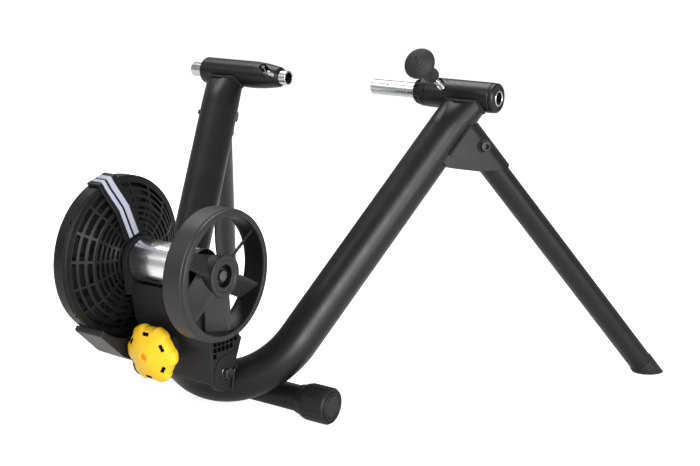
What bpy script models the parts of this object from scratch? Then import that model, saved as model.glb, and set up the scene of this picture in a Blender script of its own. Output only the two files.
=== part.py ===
"""Wheel-on bike trainer: folding steel frame, axle clamps and a tilting roller unit with a vented drum."""
import math

import bmesh
import bpy
from mathutils import Matrix, Vector

# All lengths below are millimetres. X runs towards the lever side, Y towards the folding legs, Z up.
MM = 0.001

# Faces of a box whose corners are listed low to high, X first.
BOX_FACES = ((0, 1, 3, 2), (4, 6, 7, 5), (0, 4, 5, 1), (2, 3, 7, 6), (0, 2, 6, 4), (1, 5, 7, 3))

# Datum: the line of the two clamps, above the floor and ahead of the middle of the outline.
AXLE_Z = 378.7
AXLE_Y = 89.1

# Clearances.
SEAT_GAP = 0.3
RUN_GAP = 0.1
PIN_GAP = 0.1

# Main tube: one bent tube, two arms that lean back and draw together.
TUBE_R = 25.4
TUBE_WALL = 2.0
ARM_IN = 0.347
ARM_BACK = 0.768
BEND_R = 99.1
BEND_Z = 36.39999017
BEND_Y = (BEND_Z - AXLE_Z) * ARM_BACK
BEND_REACH = (AXLE_Z - BEND_Z) * math.hypot(ARM_BACK, 1.0)
ARM_PINCH = 0.86
BORE_PINCH = 0.76
PINCH_LENGTH = 46.0
TUBE_SIDES = 20
BEND_STEPS = 10

# Crossbar and its rubber ends.
BAR_R = 16.0
BAR_WALL = 2.0
BAR_FOOT_R = 22.6
BAR_FOOT_START = 103.5
BAR_FOOT_END = 149.0
BAR_PLUG = 5.0
BAR_SIDES = 20

# Clamp housings and shafts.
HOUSING_R = 18.9
HOUSING_SIDES = 24
NEAR_COLLAR_START = 117.0
NEAR_COLLAR_END = 135.0
NEAR_HOUSING_END = 232.0
FAR_HOUSING_START = -231.1
FAR_TAPER_START = -142.0
FAR_HOUSING_END = -92.5
FAR_HOUSING_R = 18.5
FAR_NOSE_R = 14.6
SHAFT_R = 9.9
NEAR_SHAFT_START = 50.5
NEAR_SHAFT_END = 233.4
NEAR_SHAFT_WALL = 3.0
NEAR_SHAFT_BORE = SHAFT_R - NEAR_SHAFT_WALL
FAR_SHAFT_START = -253.6
FAR_SHAFT_END = -86.9
FAR_SHAFT_WALL = 2.3
FAR_SHAFT_BORE = SHAFT_R - FAR_SHAFT_WALL
WASHER_R = SHAFT_R + 4.0
WASHER_T = 1.6
TIP_CHAMFER = 0.8
NEAR_CUP_LIP = 2.5
FAR_CUP_LIP = 1.8
SLOT_REACH = (SHAFT_R - 0.7, HOUSING_R + 2.1)
SLOT_STEPS = 4
SLOT_END = (20.0, 55.0)
NOSE_FLUTE = (1.2, 1.8)
CLAMP_TRAVEL = 18.0

# Lever: angles are measured from straight back, upwards, round the clamp line.
LEVER_X = 162.0
LEVER_ANGLE = 28.5
LEVER_SWING = 52.0
LEVER_NECK = 45.0
LEVER_HEAD = 84.0
LEVER_HEAD_R = 18.0
STEM_R = 3.6
WINDOW_R = STEM_R + 1.1
PIN_X = -125.0
PIN_ANGLE = 56.0
PIN_SWING = 46.0
PIN_R = 3.4
PIN_WINDOW = PIN_R + 1.3

# Folding legs: where the leg line starts, from the arm's upper end, the leg's direction and the hinge.
LEG_FROM_ARM = (-6.10967123, -24.57, -28.6)
LEG_DIR = (0.38799, 0.53777, -0.74851)
HINGE_DIR = (0.86100, -0.50125, 0.08617)
LEG_R = 15.95
LEG_SIDES = 18
BOLT_SIDES = 16
LEG_WALL = 1.9
LEG_CLEAR = 1.85
LEG_HINGE_AT = TUBE_R + LEG_CLEAR + LEG_R
LEG_SHORT = 20.72922205
LEG_FOOT_AT = -(AXLE_Z + LEG_FROM_ARM[2]) / LEG_DIR[2] - LEG_SHORT
LEG_FOOT_R = 16.9
BRACKET_GAP = 0.65
BRACKET_T = 2.5
BRACKET_EASE = 0.06032877
BRACKET_OUTLINE = (
    (8.0, -21.0), (90.0, -21.0), (90.0, -10.0), (64.0, 24.0), (35.5, 48.5), (28.0, 55.0), (8.0, 55.0),
)
HINGE_BOLT_R = 4.0
HEX_R = 7.5
HEX_H = 5.0

# Tilting unit: pivot line off the bend's outer skin, roller line and the wheel-like pieces on its shaft.
UNIT_SIDE = (-0.903, 0.429)
PIVOT_OFF = (-5.47739245, 13.80340983)
PIVOT_Y = BEND_Y + TUBE_R * UNIT_SIDE[0] + PIVOT_OFF[0]
PIVOT_Z = BEND_Z + TUBE_R * UNIT_SIDE[1] + PIVOT_OFF[1]
ROLLER_Y = PIVOT_Y - 39.1
ROLLER_Z = PIVOT_Z + 128.1
ROLLER_R = 25.5
ROLLER_X = (-50.0, 32.0)
PIVOT_BOLT_R = 4.0
PIVOT_BARREL = (-49.5, 35.5)
PIVOT_BARREL_R = 8.6
LUG_R = 9.6
LUG_X = ((-50.0, -44.0), (30.0, 36.0))
PLATE_R = 10.5
SPINDLE_R = 6.0
SPINDLE_X = (-95.0, 64.0)
BEARING_R = 13.0
BEARING_SIDES = 20
FLY_R = 76.2
FLY_X = (46.5, 76.0)
FLY_RIM_INNER = 66.7
FLY_HUB_R = 24.8
FLY_BLADES = 6
FLY_BLADE_START = 42.0
FLY_BLADE_HALF = 1.15
FLY_STATIONS = ((18.6, 12.0, 9.0), (34.0, 6.5, 12.0), (50.0, 2.5, 16.0), (68.2, 0.0, 20.0))
DRUM_R = 95.5
DRUM_WALL = 2.5
DRUM_SIDES = 36
DRUM_BACK = 2.2
DRUM_X = (-101.5, -79.5)
GRILLE_T = 2.2
GRILLE_SECTORS = 14
GRILLE_RIB = 4.0
ROTOR_VANES = 9
BAND_ANGLE = 108.0
BAND_HALF = 11.0
GRILLE_SHOULDER = DRUM_R - 7.5
GRILLE_KNEE = DRUM_R - 31.5
GRILLE_PROFILE = ((DRUM_R, 0.0), (GRILLE_SHOULDER, 0.6), (GRILLE_KNEE, 14.5), (28.4, 20.5))
# Rings of slots, each from and to this far in from the drum's edge.
GRILLE_SLOTS = (
    (63.1, 59.3), (55.3, 51.3), (47.3, 43.1), (39.1, 34.5), (29.3, 24.1), (21.3, 16.1), (13.5, 8.7),
)

# Body of the unit, in the side view from the pivot line.
BODY_X = (-58.0, 44.0)
BODY_WALL = 4.0
BODY_OUTLINE = (
    (-54.7, 103.9), (-48.7, 73.9), (-42.7, 50.9), (-28.7, 37.9), (-25.7, 17.9), (-23.2, -13.1),
    (2.3, -17.9), (18.7, 12.6), (29.3, 38.9), (8.3, 56.9), (-12.7, 103.9),
)
BODY_HOLLOW = (
    (-48.7, 93.9), (-43.7, 72.9), (-38.2, 48.9), (-24.7, 35.4), (-21.7, 17.9), (-18.7, -41.1),
    (71.3, -41.1), (71.3, 54.9), (4.3, 54.9), (-8.7, 72.9), (-15.7, 93.9),
)
CRADLE_R = 28.3
CRADLE_X = (-52.0, 35.0)
EAR_R = 23.5
NEAR_ARM = (35.0, 42.0, 21.0)
NEAR_ARM_FOOT = ((-60.1, 88.9), (-12.7, 88.9))
FAR_ARM = (-58.0, -52.0, 27.2)
FAR_ARM_FOOT = ((-59.7, 88.9), (-11.9, 88.9))
NEAR_TOP = 86.9
WALL_TOP = 102.9
POCKET_PITCH = 9.0
POCKET_SIZE = 7.4
POCKET_DEPTH = 4.0
POCKET_START = (-22.3, 17.4)

# Chin under the drum, in the side view from the drum's lowest line.
CHIN_OUTLINE = (
    (-67.6, 19.8), (-22.6, -20.3), (11.9, -36.7), (23.4, -36.7), (28.9, -31.2), (28.9, 36.3),
    (-49.6, 36.3),
)
CHIN_HOLLOW = (
    (-54.6, 12.3), (-21.6, -17.3), (12.6, -33.7), (22.2, -33.7), (25.9, -30.0), (25.9, 36.3),
    (-54.6, 36.3),
)
CHIN_WALL = 3.0
BOARD = ((-19.2, -16.1), (-18.6, -17.5), (11.0, -32.6), (11.6, -31.2))
SOCKET = (12.4, -19.7)

# Wire keeper beside the pivot bolt, in the side view from the pivot line.
WIRE_X = 47.4
WIRE_R = 1.9
WIRE_SIDES = 8
WIRE_UP = ((8.9, -19.1), (10.2, -11.1), (10.9, -3.1))
WIRE_LOOP = (16.5, -2.5)
WIRE_LOOP_R = 5.6
WIRE_DOWN = ((22.3, -5.1), (21.7, -10.7))

# Adjuster: anchor line in the frame, direction of the rod and the places along it.
ANCHOR = (PIVOT_Y + 29.3, PIVOT_Z + 36.4)
ANCHOR_R = 6.5
ANCHOR_SIDES = 20
ROD_DIR = (0.0, -0.99346, -0.11419)
ROD_X = -16.0
ROD_R = 4.0
ROD_NOSE = 74.5
ROD_END = 92.0
KNOB_START = 77.1
KNOB_END = 106.3
KNOB_R = 36.0
KNOB_LOBES = 6
KNOB_STEPS = 6
KNOB_SLOT = (24.6, 27.8, 4.0)
ROD_FIT = 0.25


def clear_scene():
    """Remove what a new file starts with."""
    for item in list(bpy.data.objects):
        bpy.data.objects.remove(item, do_unlink=True)


def point(x, y, z):
    """Turn a place given from the clamp line's Y into world millimetres."""
    return Vector((x, y + AXLE_Y, z))


def unit(values):
    """Return a vector of length one."""
    return Vector(values).normalized()


def add_mesh(name, verts, faces):
    """Make an object from plain lists, with its normals facing out."""
    mesh = bpy.data.meshes.new(name)
    mesh.from_pydata([tuple(v) for v in verts], [], faces)
    shape = bmesh.new()
    shape.from_mesh(mesh)
    bmesh.ops.recalc_face_normals(shape, faces=shape.faces)
    shape.to_mesh(mesh)
    shape.free()
    result = bpy.data.objects.new(name, mesh)
    bpy.context.scene.collection.objects.link(result)
    return result


def lathe(name, profile, origin, axis, segments, start=None, closed=False):
    """Turn a profile of (along, radius) pairs round an axis."""
    axis = unit(axis)
    side = unit(start) if start is not None else axis.orthogonal().normalized()
    side = (side - axis * side.dot(axis)).normalized()
    other = axis.cross(side)
    verts = []
    rings = []
    for along, radius in profile:
        centre = origin + axis * along
        if radius == 0.0:
            rings.append([len(verts)])
            verts.append(centre)
            continue
        ring = []
        for step in range(segments):
            turn = 2.0 * math.pi * step / segments
            ring.append(len(verts))
            verts.append(centre + side * (radius * math.cos(turn)) + other * (radius * math.sin(turn)))
        rings.append(ring)
    pairs = list(zip(rings[:-1], rings[1:]))
    if closed:
        pairs.append((rings[-1], rings[0]))
    faces = []
    for low, high in pairs:
        for step in range(segments):
            following = (step + 1) % segments
            if len(low) == 1:
                faces.append((low[0], high[following], high[step]))
            elif len(high) == 1:
                faces.append((low[step], low[following], high[0]))
            else:
                faces.append((low[step], low[following], high[following], high[step]))
    return add_mesh(name, verts, faces)


def drill(low, high, radius):
    """Return the profile of a plain round cutter."""
    return (low, 0.0), (low, radius), (high, radius), (high, 0.0)


def on_clamp(name, profile, closed=False):
    """Turn a profile round the line of the two clamps."""
    return lathe(name, profile, point(0, 0, AXLE_Z), (1, 0, 0), HOUSING_SIDES, (0, -1, 0), closed)


def on_shaft(name, profile, sides, closed=False):
    """Turn a profile round the roller's line."""
    return lathe(name, profile, point(0, ROLLER_Y, ROLLER_Z), (1, 0, 0), sides, (0, -1, 0), closed)


def on_pivot(name, profile, closed=False):
    """Turn a profile round the line that the unit tilts on."""
    return lathe(name, profile, point(0, PIVOT_Y, PIVOT_Z), (1, 0, 0), BOLT_SIDES, (0, -1, 0), closed)


def on_rod(name, profile, sides, closed=False):
    """Turn a profile round the adjuster rod, from its anchor."""
    return lathe(name, profile, point(ROD_X, ANCHOR[0], ANCHOR[1]), ROD_DIR, sides, (1, 0, 0), closed)


def prism(name, outline, origin, first, second, depth, low, high):
    """Extrude a flat outline of (first, second) pairs along the depth direction."""
    first = Vector(first)
    second = Vector(second)
    depth = Vector(depth)
    count = len(outline)
    verts = []
    for level in (low, high):
        for a, b in outline:
            verts.append(origin + first * a + second * b + depth * level)
    faces = [tuple(range(count)), tuple(range(count, 2 * count))]
    for step in range(count):
        following = (step + 1) % count
        faces.append((step, following, count + following, count + step))
    return add_mesh(name, verts, faces)


def side_prism(name, outline, low, high):
    """Extrude an outline of (Y, Z) pairs along X."""
    return prism(name, outline, point(0.0, 0.0, 0.0), (0, 1, 0), (0, 0, 1), (1, 0, 0), low, high)


def box_list(name, boxes):
    """Make one object from several separate boxes given as low and high corners."""
    verts = []
    faces = []
    for low, high in boxes:
        base = len(verts)
        for x in (low[0], high[0]):
            for y in (low[1], high[1]):
                for z in (low[2], high[2]):
                    verts.append(point(x, y, z))
        for face in BOX_FACES:
            faces.append(tuple(base + corner for corner in face))
    return add_mesh(name, verts, faces)


def circle(centre, radius, first_angle, last_angle, steps):
    """List points of an arc in a flat view, angles in degrees."""
    result = []
    for step in range(steps + 1):
        turn = math.radians(first_angle + (last_angle - first_angle) * step / steps)
        result.append((centre[0] + radius * math.cos(turn), centre[1] + radius * math.sin(turn)))
    return result


def hull(points):
    """Return the convex outline round a set of flat points."""
    ordered = sorted(set(points))
    chains = []
    for sequence in (ordered, ordered[::-1]):
        chain = []
        for p in sequence:
            while len(chain) > 1:
                a, b = chain[-2], chain[-1]
                if (b[0] - a[0]) * (p[1] - a[1]) - (b[1] - a[1]) * (p[0] - a[0]) > 1e-9:
                    break
                chain.pop()
            chain.append(p)
        chains.append(chain[:-1])
    return chains[0] + chains[1]


def combine(target, tool, operation):
    """Cut, join or keep common with a helper object, which is hidden."""
    step = target.modifiers.new(operation.lower() + "_" + tool.name, "BOOLEAN")
    step.operation = operation
    step.object = tool
    step.solver = "EXACT"
    tool.hide_render = True
    tool.display_type = "WIRE"
    return target


def cut(target, tool):
    """Take the helper's volume away."""
    return combine(target, tool, "DIFFERENCE")


def join(target, tool):
    """Add the helper's volume."""
    return combine(target, tool, "UNION")


def arm_plane(x, reach):
    """Place a point in the slanting plane that holds the main tube's centre line."""
    length = math.hypot(ARM_BACK, 1.0)
    return point(x, -reach * ARM_BACK / length, AXLE_Z - reach / length)


def bend_half_angle():
    """Angle between an arm and the middle plane, seen square to the tube's own plane."""
    return math.atan(ARM_IN / math.hypot(ARM_BACK, 1.0))


def arm_x(reach):
    """How far an arm's centre line stands from the middle plane, at a reach down from the clamp line."""
    half = bend_half_angle()
    return BEND_R / math.cos(half) + math.tan(half) * (BEND_REACH - BEND_R - reach)


def frame_path(bend_steps, first, pinch):
    """List (place, direction across the tube in its plane, squeeze) along the main tube."""
    half = bend_half_angle()
    centre_reach = BEND_REACH - BEND_R
    down = arm_plane(0.0, 1.0) - arm_plane(0.0, 0.0)
    across = Vector((math.cos(half), 0.0, 0.0)) + down * math.sin(half)
    top = ((first, pinch), (PINCH_LENGTH, 1.0))
    path = []
    for reach, squeeze in top:
        path.append((arm_plane(arm_x(reach), reach), across.copy(), squeeze))
    for step in range(bend_steps + 1):
        turn = half + (math.pi - 2.0 * half) * step / bend_steps
        place = arm_plane(BEND_R * math.cos(turn), centre_reach + BEND_R * math.sin(turn))
        outward = Vector((math.cos(turn), 0.0, 0.0)) + down * math.sin(turn)
        path.append((place, outward, 1.0))
    back = Vector((-math.cos(half), 0.0, 0.0)) + down * math.sin(half)
    for reach, squeeze in reversed(top):
        path.append((arm_plane(-arm_x(reach), reach), back.copy(), squeeze))
    return path


def frame_sweep(name, radius, segments, bend_steps, first=0.0, pinch=ARM_PINCH):
    """Sweep a round section along the main tube's path, pinched front to rear at its ends."""
    normal = Vector((0.0, -1.0, ARM_BACK)).normalized()
    path = frame_path(bend_steps, first, pinch)
    verts = []
    faces = []
    for place, outward, squeeze in path:
        for step in range(segments):
            turn = 2.0 * math.pi * (step + 0.5) / segments
            wide = radius * math.cos(turn)
            deep = radius * squeeze * math.sin(turn)
            verts.append(place + outward * wide + normal * deep)
    last = len(path) - 1
    for ring in range(last):
        for step in range(segments):
            low = ring * segments
            following = (step + 1) % segments
            faces.append((low + step, low + following, low + segments + following, low + segments + step))
    faces.append(tuple(range(segments)))
    faces.append(tuple(range(last * segments, (last + 1) * segments)))
    return add_mesh(name, verts, faces)


def bend_bottom():
    """Centre of the main tube at the lowest point of its bend."""
    return arm_plane(0.0, BEND_REACH)


def bar_y():
    """Where the crossbar stands so that it meets the bend's surface."""
    low = bend_bottom()
    reach = TUBE_R + BAR_R + SEAT_GAP
    return low.y - AXLE_Y + reach * math.hypot(ARM_BACK, 1.0) - (low.z - BAR_FOOT_R) * ARM_BACK


def around_clamp(x, angle, radius):
    """Place a point round the clamp line, angle in degrees from straight back, upwards."""
    turn = math.radians(angle)
    return point(x, -radius * math.cos(turn), AXLE_Z + radius * math.sin(turn))


def radial(angle):
    """Direction away from the clamp line at an angle from straight back, upwards."""
    turn = math.radians(angle)
    return Vector((0.0, -math.cos(turn), math.sin(turn)))


def capsule_pairs(run, rise, radius):
    """List (left, right) places across a slot with round ends, laid out flat from (0, 0) to (run, rise)."""
    length = math.hypot(run, rise)
    ahead = (run / length, rise / length)
    stations = [(-radius * math.cos(math.radians(a)), radius * math.sin(math.radians(a))) for a in SLOT_END]
    stations += [(length * step / SLOT_STEPS, radius) for step in range(SLOT_STEPS + 1)]
    stations += [(length - place, half) for place, half in reversed(stations[:len(SLOT_END)])]
    pairs = []
    for place, half in stations:
        x = ahead[0] * place
        s = ahead[1] * place
        pairs.append(((x - ahead[1] * half, s + ahead[0] * half), (x + ahead[1] * half, s - ahead[0] * half)))
    return pairs


def screw_slot(name, first_x, first_angle, run, swing, radius):
    """Make a cutter for a slot that runs along a screw path in a housing's wall."""
    verts = []
    for reach in SLOT_REACH:
        for pair in capsule_pairs(run, reach * math.radians(swing), radius):
            for x, s in pair:
                verts.append(around_clamp(first_x + x, first_angle + math.degrees(s / reach), reach))
    half = len(verts) // 2
    faces = [(0, 1, half + 1, half), (half - 2, half - 1, 2 * half - 1, 2 * half - 2)]
    for a in range(0, half - 2, 2):
        faces.append((a, a + 1, a + 3, a + 2))
        faces.append((half + a, half + a + 1, half + a + 3, half + a + 2))
        faces.append((a, a + 2, half + a + 2, half + a))
        faces.append((a + 1, a + 3, half + a + 3, half + a + 1))
    return add_mesh(name, verts, faces)


def build_main_tube():
    """One bent tube whose ends are shaped to hug the clamp housings."""
    tube = frame_sweep("main_frame_tube", TUBE_R, TUBE_SIDES, BEND_STEPS)
    inner = TUBE_R - TUBE_WALL
    cut(tube, frame_sweep("cutter_tube_bore", inner, TUBE_SIDES // 2, BEND_STEPS, -10.0, BORE_PINCH))
    cope = on_clamp("cutter_cope", drill(-260.0, 260.0, HOUSING_R + SEAT_GAP))
    top = box_list("cutter_arm_top", [((-260, -80, AXLE_Z + 1.0), (260, 80, AXLE_Z + 60.0))])
    cut(tube, cope)
    cut(tube, top)
    return tube


def build_crossbar():
    """Straight tube welded along the front of the bend."""
    half = BAR_FOOT_END - BAR_PLUG - 0.5
    inner = BAR_R - BAR_WALL
    profile = ((-half, inner), (-half, BAR_R), (half, BAR_R), (half, inner))
    return lathe("crossbar", profile, point(0, bar_y(), BAR_FOOT_R), (1, 0, 0), BAR_SIDES, (0, -1, 0), True)


def build_crossbar_foot(name, side):
    """Rubber end of the crossbar, with a flared neck and a raised disc on its face."""
    start = BAR_FOOT_START
    end = BAR_FOOT_END
    bore = BAR_R + SEAT_GAP
    profile = (
        (end + 1.0, 0.0), (end + 1.0, 15.0), (end, 15.8), (end, 20.3), (end - 2.6, BAR_FOOT_R),
        (start + 16.0, BAR_FOOT_R), (start + 5.0, bore + 2.6), (start, bore + 1.6), (start, bore),
        (end - BAR_PLUG, bore), (end - BAR_PLUG, 0.0),
    )
    return lathe(name, profile, point(0, bar_y(), BAR_FOOT_R), (side, 0, 0), BAR_SIDES, (0, 0, -1))


def build_near_housing():
    """Lever-side clamp housing: bored for the shaft, with a window for the lever's stem."""
    bore = SHAFT_R + RUN_GAP
    counterbore = WASHER_R + SEAT_GAP
    start = NEAR_COLLAR_END + SEAT_GAP
    end = NEAR_HOUSING_END
    depth = end - CLAMP_TRAVEL - 5.0
    profile = (
        (start, bore), (start, HOUSING_R), (end - 6.4, HOUSING_R), (end - 5.9, HOUSING_R - 0.6),
        (end - 2.0, HOUSING_R - 0.6), (end, HOUSING_R - 2.2),
        (end, counterbore), (depth, counterbore), (depth, bore),
    )
    housing = on_clamp("clamp_housing_near", profile, True)
    slot = screw_slot("cutter_lever_slot", LEVER_X, LEVER_ANGLE, -CLAMP_TRAVEL, LEVER_SWING, WINDOW_R)
    return cut(housing, slot)


def build_near_collar():
    """Fluted nose ring at the inner end of the lever-side housing."""
    bore = SHAFT_R + RUN_GAP
    start = NEAR_COLLAR_START
    end = NEAR_COLLAR_END
    profile = (
        (start, bore), (start, 14.2), (start + 2.0, 15.6), (start + 9.0, 18.4), (end, 18.4), (end, bore),
    )
    depths = (0.0, NOSE_FLUTE[0], NOSE_FLUTE[1], 0.0, 0.0, 0.0)
    verts = []
    faces = []
    for (x, radius), depth in zip(profile, depths):
        for step in range(HOUSING_SIDES):
            flute = depth if step % 2 else 0.0
            verts.append(around_clamp(x, 360.0 * step / HOUSING_SIDES, radius - flute))
    rings = len(profile)
    for ring in range(rings):
        low = ring * HOUSING_SIDES
        high = (ring + 1) % rings * HOUSING_SIDES
        for step in range(HOUSING_SIDES):
            following = (step + 1) % HOUSING_SIDES
            faces.append((low + step, low + following, high + following, high + step))
    return add_mesh("clamp_nose_collar", verts, faces)


def build_far_housing():
    """Plain-side clamp housing: tapered nose, slanting window for the lock pin."""
    bore = SHAFT_R + RUN_GAP
    counterbore = WASHER_R + SEAT_GAP
    start = FAR_HOUSING_START
    end = FAR_HOUSING_END
    depth = start + CLAMP_TRAVEL + 5.0
    profile = (
        (start, counterbore), (start, FAR_HOUSING_R - 2.4), (start + 2.6, FAR_HOUSING_R),
        (FAR_TAPER_START, FAR_HOUSING_R), (FAR_TAPER_START + 22.0, FAR_HOUSING_R - 1.0),
        (end - 3.0, FAR_NOSE_R), (end, FAR_NOSE_R - 1.6), (end, bore), (depth, bore), (depth, counterbore),
    )
    housing = on_clamp("clamp_housing_far", profile, True)
    slot = screw_slot("cutter_pin_slot", PIN_X, PIN_ANGLE, CLAMP_TRAVEL, -PIN_SWING, PIN_WINDOW)
    return cut(housing, slot)


def build_washer(name, x, towards):
    """Thrust ring that slides in a housing's end and carries the turning shaft."""
    inner = SHAFT_R + RUN_GAP
    profile = ((0.0, inner), (0.0, WASHER_R), (WASHER_T, WASHER_R), (WASHER_T, inner))
    return lathe(name, profile, point(x, 0, AXLE_Z), (towards, 0, 0), HOUSING_SIDES, (0, -1, 0), True)


def build_near_shaft():
    """Plated clamp shaft with a cupped tip, a bore and a cross hole for the lever's stem."""
    start = NEAR_SHAFT_START
    end = NEAR_SHAFT_END
    bore = NEAR_SHAFT_BORE
    tip = SHAFT_R - TIP_CHAMFER
    profile = (
        (start, SHAFT_R - NEAR_CUP_LIP), (start, tip), (start + TIP_CHAMFER, SHAFT_R),
        (end - TIP_CHAMFER, SHAFT_R), (end, tip), (end, bore), (start + 6.0, bore),
    )
    shaft = on_clamp("clamp_shaft", profile, True)
    hole = lathe("cutter_stem_hole", drill(2.0, 14.0, STEM_R + PIN_GAP), point(LEVER_X, 0, AXLE_Z),
                 radial(LEVER_ANGLE), 12)
    return cut(shaft, hole)


def build_lever_stem():
    """Round stem screwed into the shaft, passing out through the housing's window."""
    profile = drill(NEAR_SHAFT_BORE, LEVER_HEAD - 16.0, STEM_R - 0.2)
    return lathe("lever_stem", profile, point(LEVER_X, 0, AXLE_Z), radial(LEVER_ANGLE), 12)


def build_lever_knob():
    """Mushroom grip: waisted neck and a broad round head."""
    neck = LEVER_NECK
    head = LEVER_HEAD
    wide = LEVER_HEAD_R
    profile = (
        (head - 15.7, 0.0), (head - 15.7, STEM_R + PIN_GAP), (neck, STEM_R + PIN_GAP), (neck, 6.6),
        (neck + 1.8, 8.2), (neck + 17.0, 7.4), (head - 13.0, 9.6), (head - 7.0, 15.0), (head - 2.0, wide),
        (head + 4.0, wide - 0.6), (head + 8.0, 15.0), (head + 11.2, 9.0), (head + 12.8, 0.0),
    )
    return lathe("lever_knob", profile, point(LEVER_X, 0, AXLE_Z), radial(LEVER_ANGLE), 18)


def build_far_shaft():
    """Plated tube that stands out at both ends of the plain-side housing."""
    start = FAR_SHAFT_START
    end = FAR_SHAFT_END
    bore = FAR_SHAFT_BORE
    profile = (
        (start, bore), (start, SHAFT_R - 1.2), (start + 1.4, SHAFT_R), (end - TIP_CHAMFER, SHAFT_R),
        (end, SHAFT_R - TIP_CHAMFER), (end, SHAFT_R - FAR_CUP_LIP), (end - 5.0, bore),
    )
    shaft = on_clamp("cup_shaft", profile, True)
    hole = lathe("cutter_pin_hole", drill(3.0, 14.0, PIN_R + PIN_GAP), point(PIN_X, 0, AXLE_Z),
                 radial(PIN_ANGLE), 12)
    return cut(shaft, hole)


def build_lock_pin():
    """Pin that holds the plain-side shaft in its slanting window."""
    start = FAR_SHAFT_BORE - 0.6
    end = FAR_HOUSING_R - 2.3
    profile = ((start, 0.0), (start, PIN_R), (end - 0.8, PIN_R), (end, PIN_R - 0.8), (end, 0.0))
    return lathe("cup_lock_pin", profile, point(PIN_X, 0, AXLE_Z), radial(PIN_ANGLE), 12)


def mirrored(values, side):
    """Flip a direction or place for the far side."""
    return Vector((values[0] * side, values[1], values[2]))


def leg_frame(side):
    """Return the leg's root, its direction, the hinge direction and the open side's direction."""
    ahead, back, up = LEG_FROM_ARM
    root = point(side * (arm_x(0.0) + ahead), back, AXLE_Z + up)
    along = unit(mirrored(LEG_DIR, side))
    hinge = mirrored(HINGE_DIR, side)
    hinge = (hinge - along * hinge.dot(along)).normalized()
    opening = along.cross(hinge)
    if opening.z > 0.0:
        opening = -opening
    return root, along, hinge, opening


def build_leg_bracket(name, side):
    """Sheet bracket: wraps half round the leg, its two cheeks run back to the arm."""
    root, along, hinge, opening = leg_frame(side)
    inner = LEG_R + BRACKET_GAP
    outer = inner + BRACKET_T
    section = [(60.0, inner), (60.0, outer)]
    section += [(b, a) for a, b in circle((0.0, 0.0), outer, 0.0, -180.0, LEG_SIDES // 2)]
    section += [(60.0, -outer), (60.0, -inner)]
    section += [(b, a) for a, b in circle((0.0, 0.0), inner, -180.0, 0.0, LEG_SIDES // 2)]
    bracket = prism(name, section, root, opening, hinge, along, 6.0, 92.0)
    keep = prism("guide_outline_" + name, BRACKET_OUTLINE, root, along, opening, hinge, -30.0, 30.0)
    combine(bracket, keep, "INTERSECT")
    top = arm_plane(side * (arm_x(0.0) + BRACKET_EASE), 0.0)
    low = arm_plane(side * (arm_x(200.0) + BRACKET_EASE), 200.0)
    arm = drill(0.0, 200.0, TUBE_R + SEAT_GAP)
    cut(bracket, lathe("cutter_arm_" + name, arm, top, low - top, TUBE_SIDES))
    hole = lathe("cutter_hinge_" + name, drill(-30.0, 30.0, HINGE_BOLT_R + PIN_GAP),
                 root + along * LEG_HINGE_AT, hinge, BOLT_SIDES, start=along)
    return cut(bracket, hole)


def build_leg_tube(name, side):
    """Leg tube with a round closed top and an open lower end."""
    root, along, hinge, opening = leg_frame(side)
    profile = [(LEG_HINGE_AT - LEG_R, 0.0)]
    for turn in (30.0, 60.0, 90.0):
        angle = math.radians(turn)
        profile.append((LEG_HINGE_AT - LEG_R * math.cos(angle), LEG_R * math.sin(angle)))
    inner = LEG_R - LEG_WALL
    profile += [(LEG_FOOT_AT - SEAT_GAP, LEG_R), (LEG_FOOT_AT - SEAT_GAP, inner), (62.0, inner), (62.0, 0.0)]
    leg = lathe(name, profile, root, along, LEG_SIDES, start=opening)
    hole = lathe("cutter_bolt_" + name, drill(-24.0, 24.0, HINGE_BOLT_R + PIN_GAP),
                 root + along * LEG_HINGE_AT, hinge, BOLT_SIDES, start=along)
    return cut(leg, hole)


def build_leg_foot(name, side):
    """Rubber plug in the leg's end, cut level with the floor."""
    root, along, hinge, opening = leg_frame(side)
    plug = LEG_R - LEG_WALL - SEAT_GAP
    start = LEG_FOOT_AT
    profile = (
        (start - 22.0, 0.0), (start - 22.0, plug - 1.0), (start - 20.0, plug), (start, plug),
        (start, LEG_FOOT_R - 0.5), (start + 1.5, LEG_FOOT_R), (start + 42.0, LEG_FOOT_R), (start + 42.0, 0.0),
    )
    foot = lathe(name, profile, root, along, LEG_SIDES, start=opening)
    end = root + along * start
    low = (end.x - 60.0, end.y - AXLE_Y - 60.0, -60.0)
    high = (end.x + 90.0, end.y - AXLE_Y + 90.0, 0.0)
    return cut(foot, box_list("cutter_floor_" + name, [(low, high)]))


def build_leg_bolt(name, side):
    """Hinge bolt with washer, hexagon head outside and nut inside."""
    root, along, hinge, opening = leg_frame(side)
    outer = LEG_R + BRACKET_GAP + BRACKET_T + SEAT_GAP
    centre = root + along * LEG_HINGE_AT
    face = outer + WASHER_T
    profile = (
        (face, 0.0), (face, 9.0), (outer, 9.0), (outer, HINGE_BOLT_R), (-outer, HINGE_BOLT_R),
        (-outer, HEX_R), (-face - HEX_H, HEX_R), (-face - HEX_H, 0.0),
    )
    bolt = lathe(name, profile, centre, hinge, BOLT_SIDES, start=along)
    return join(bolt, lathe("guide_head_" + name, drill(face - 0.6, face + HEX_H, HEX_R), centre, hinge, 6))


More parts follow.
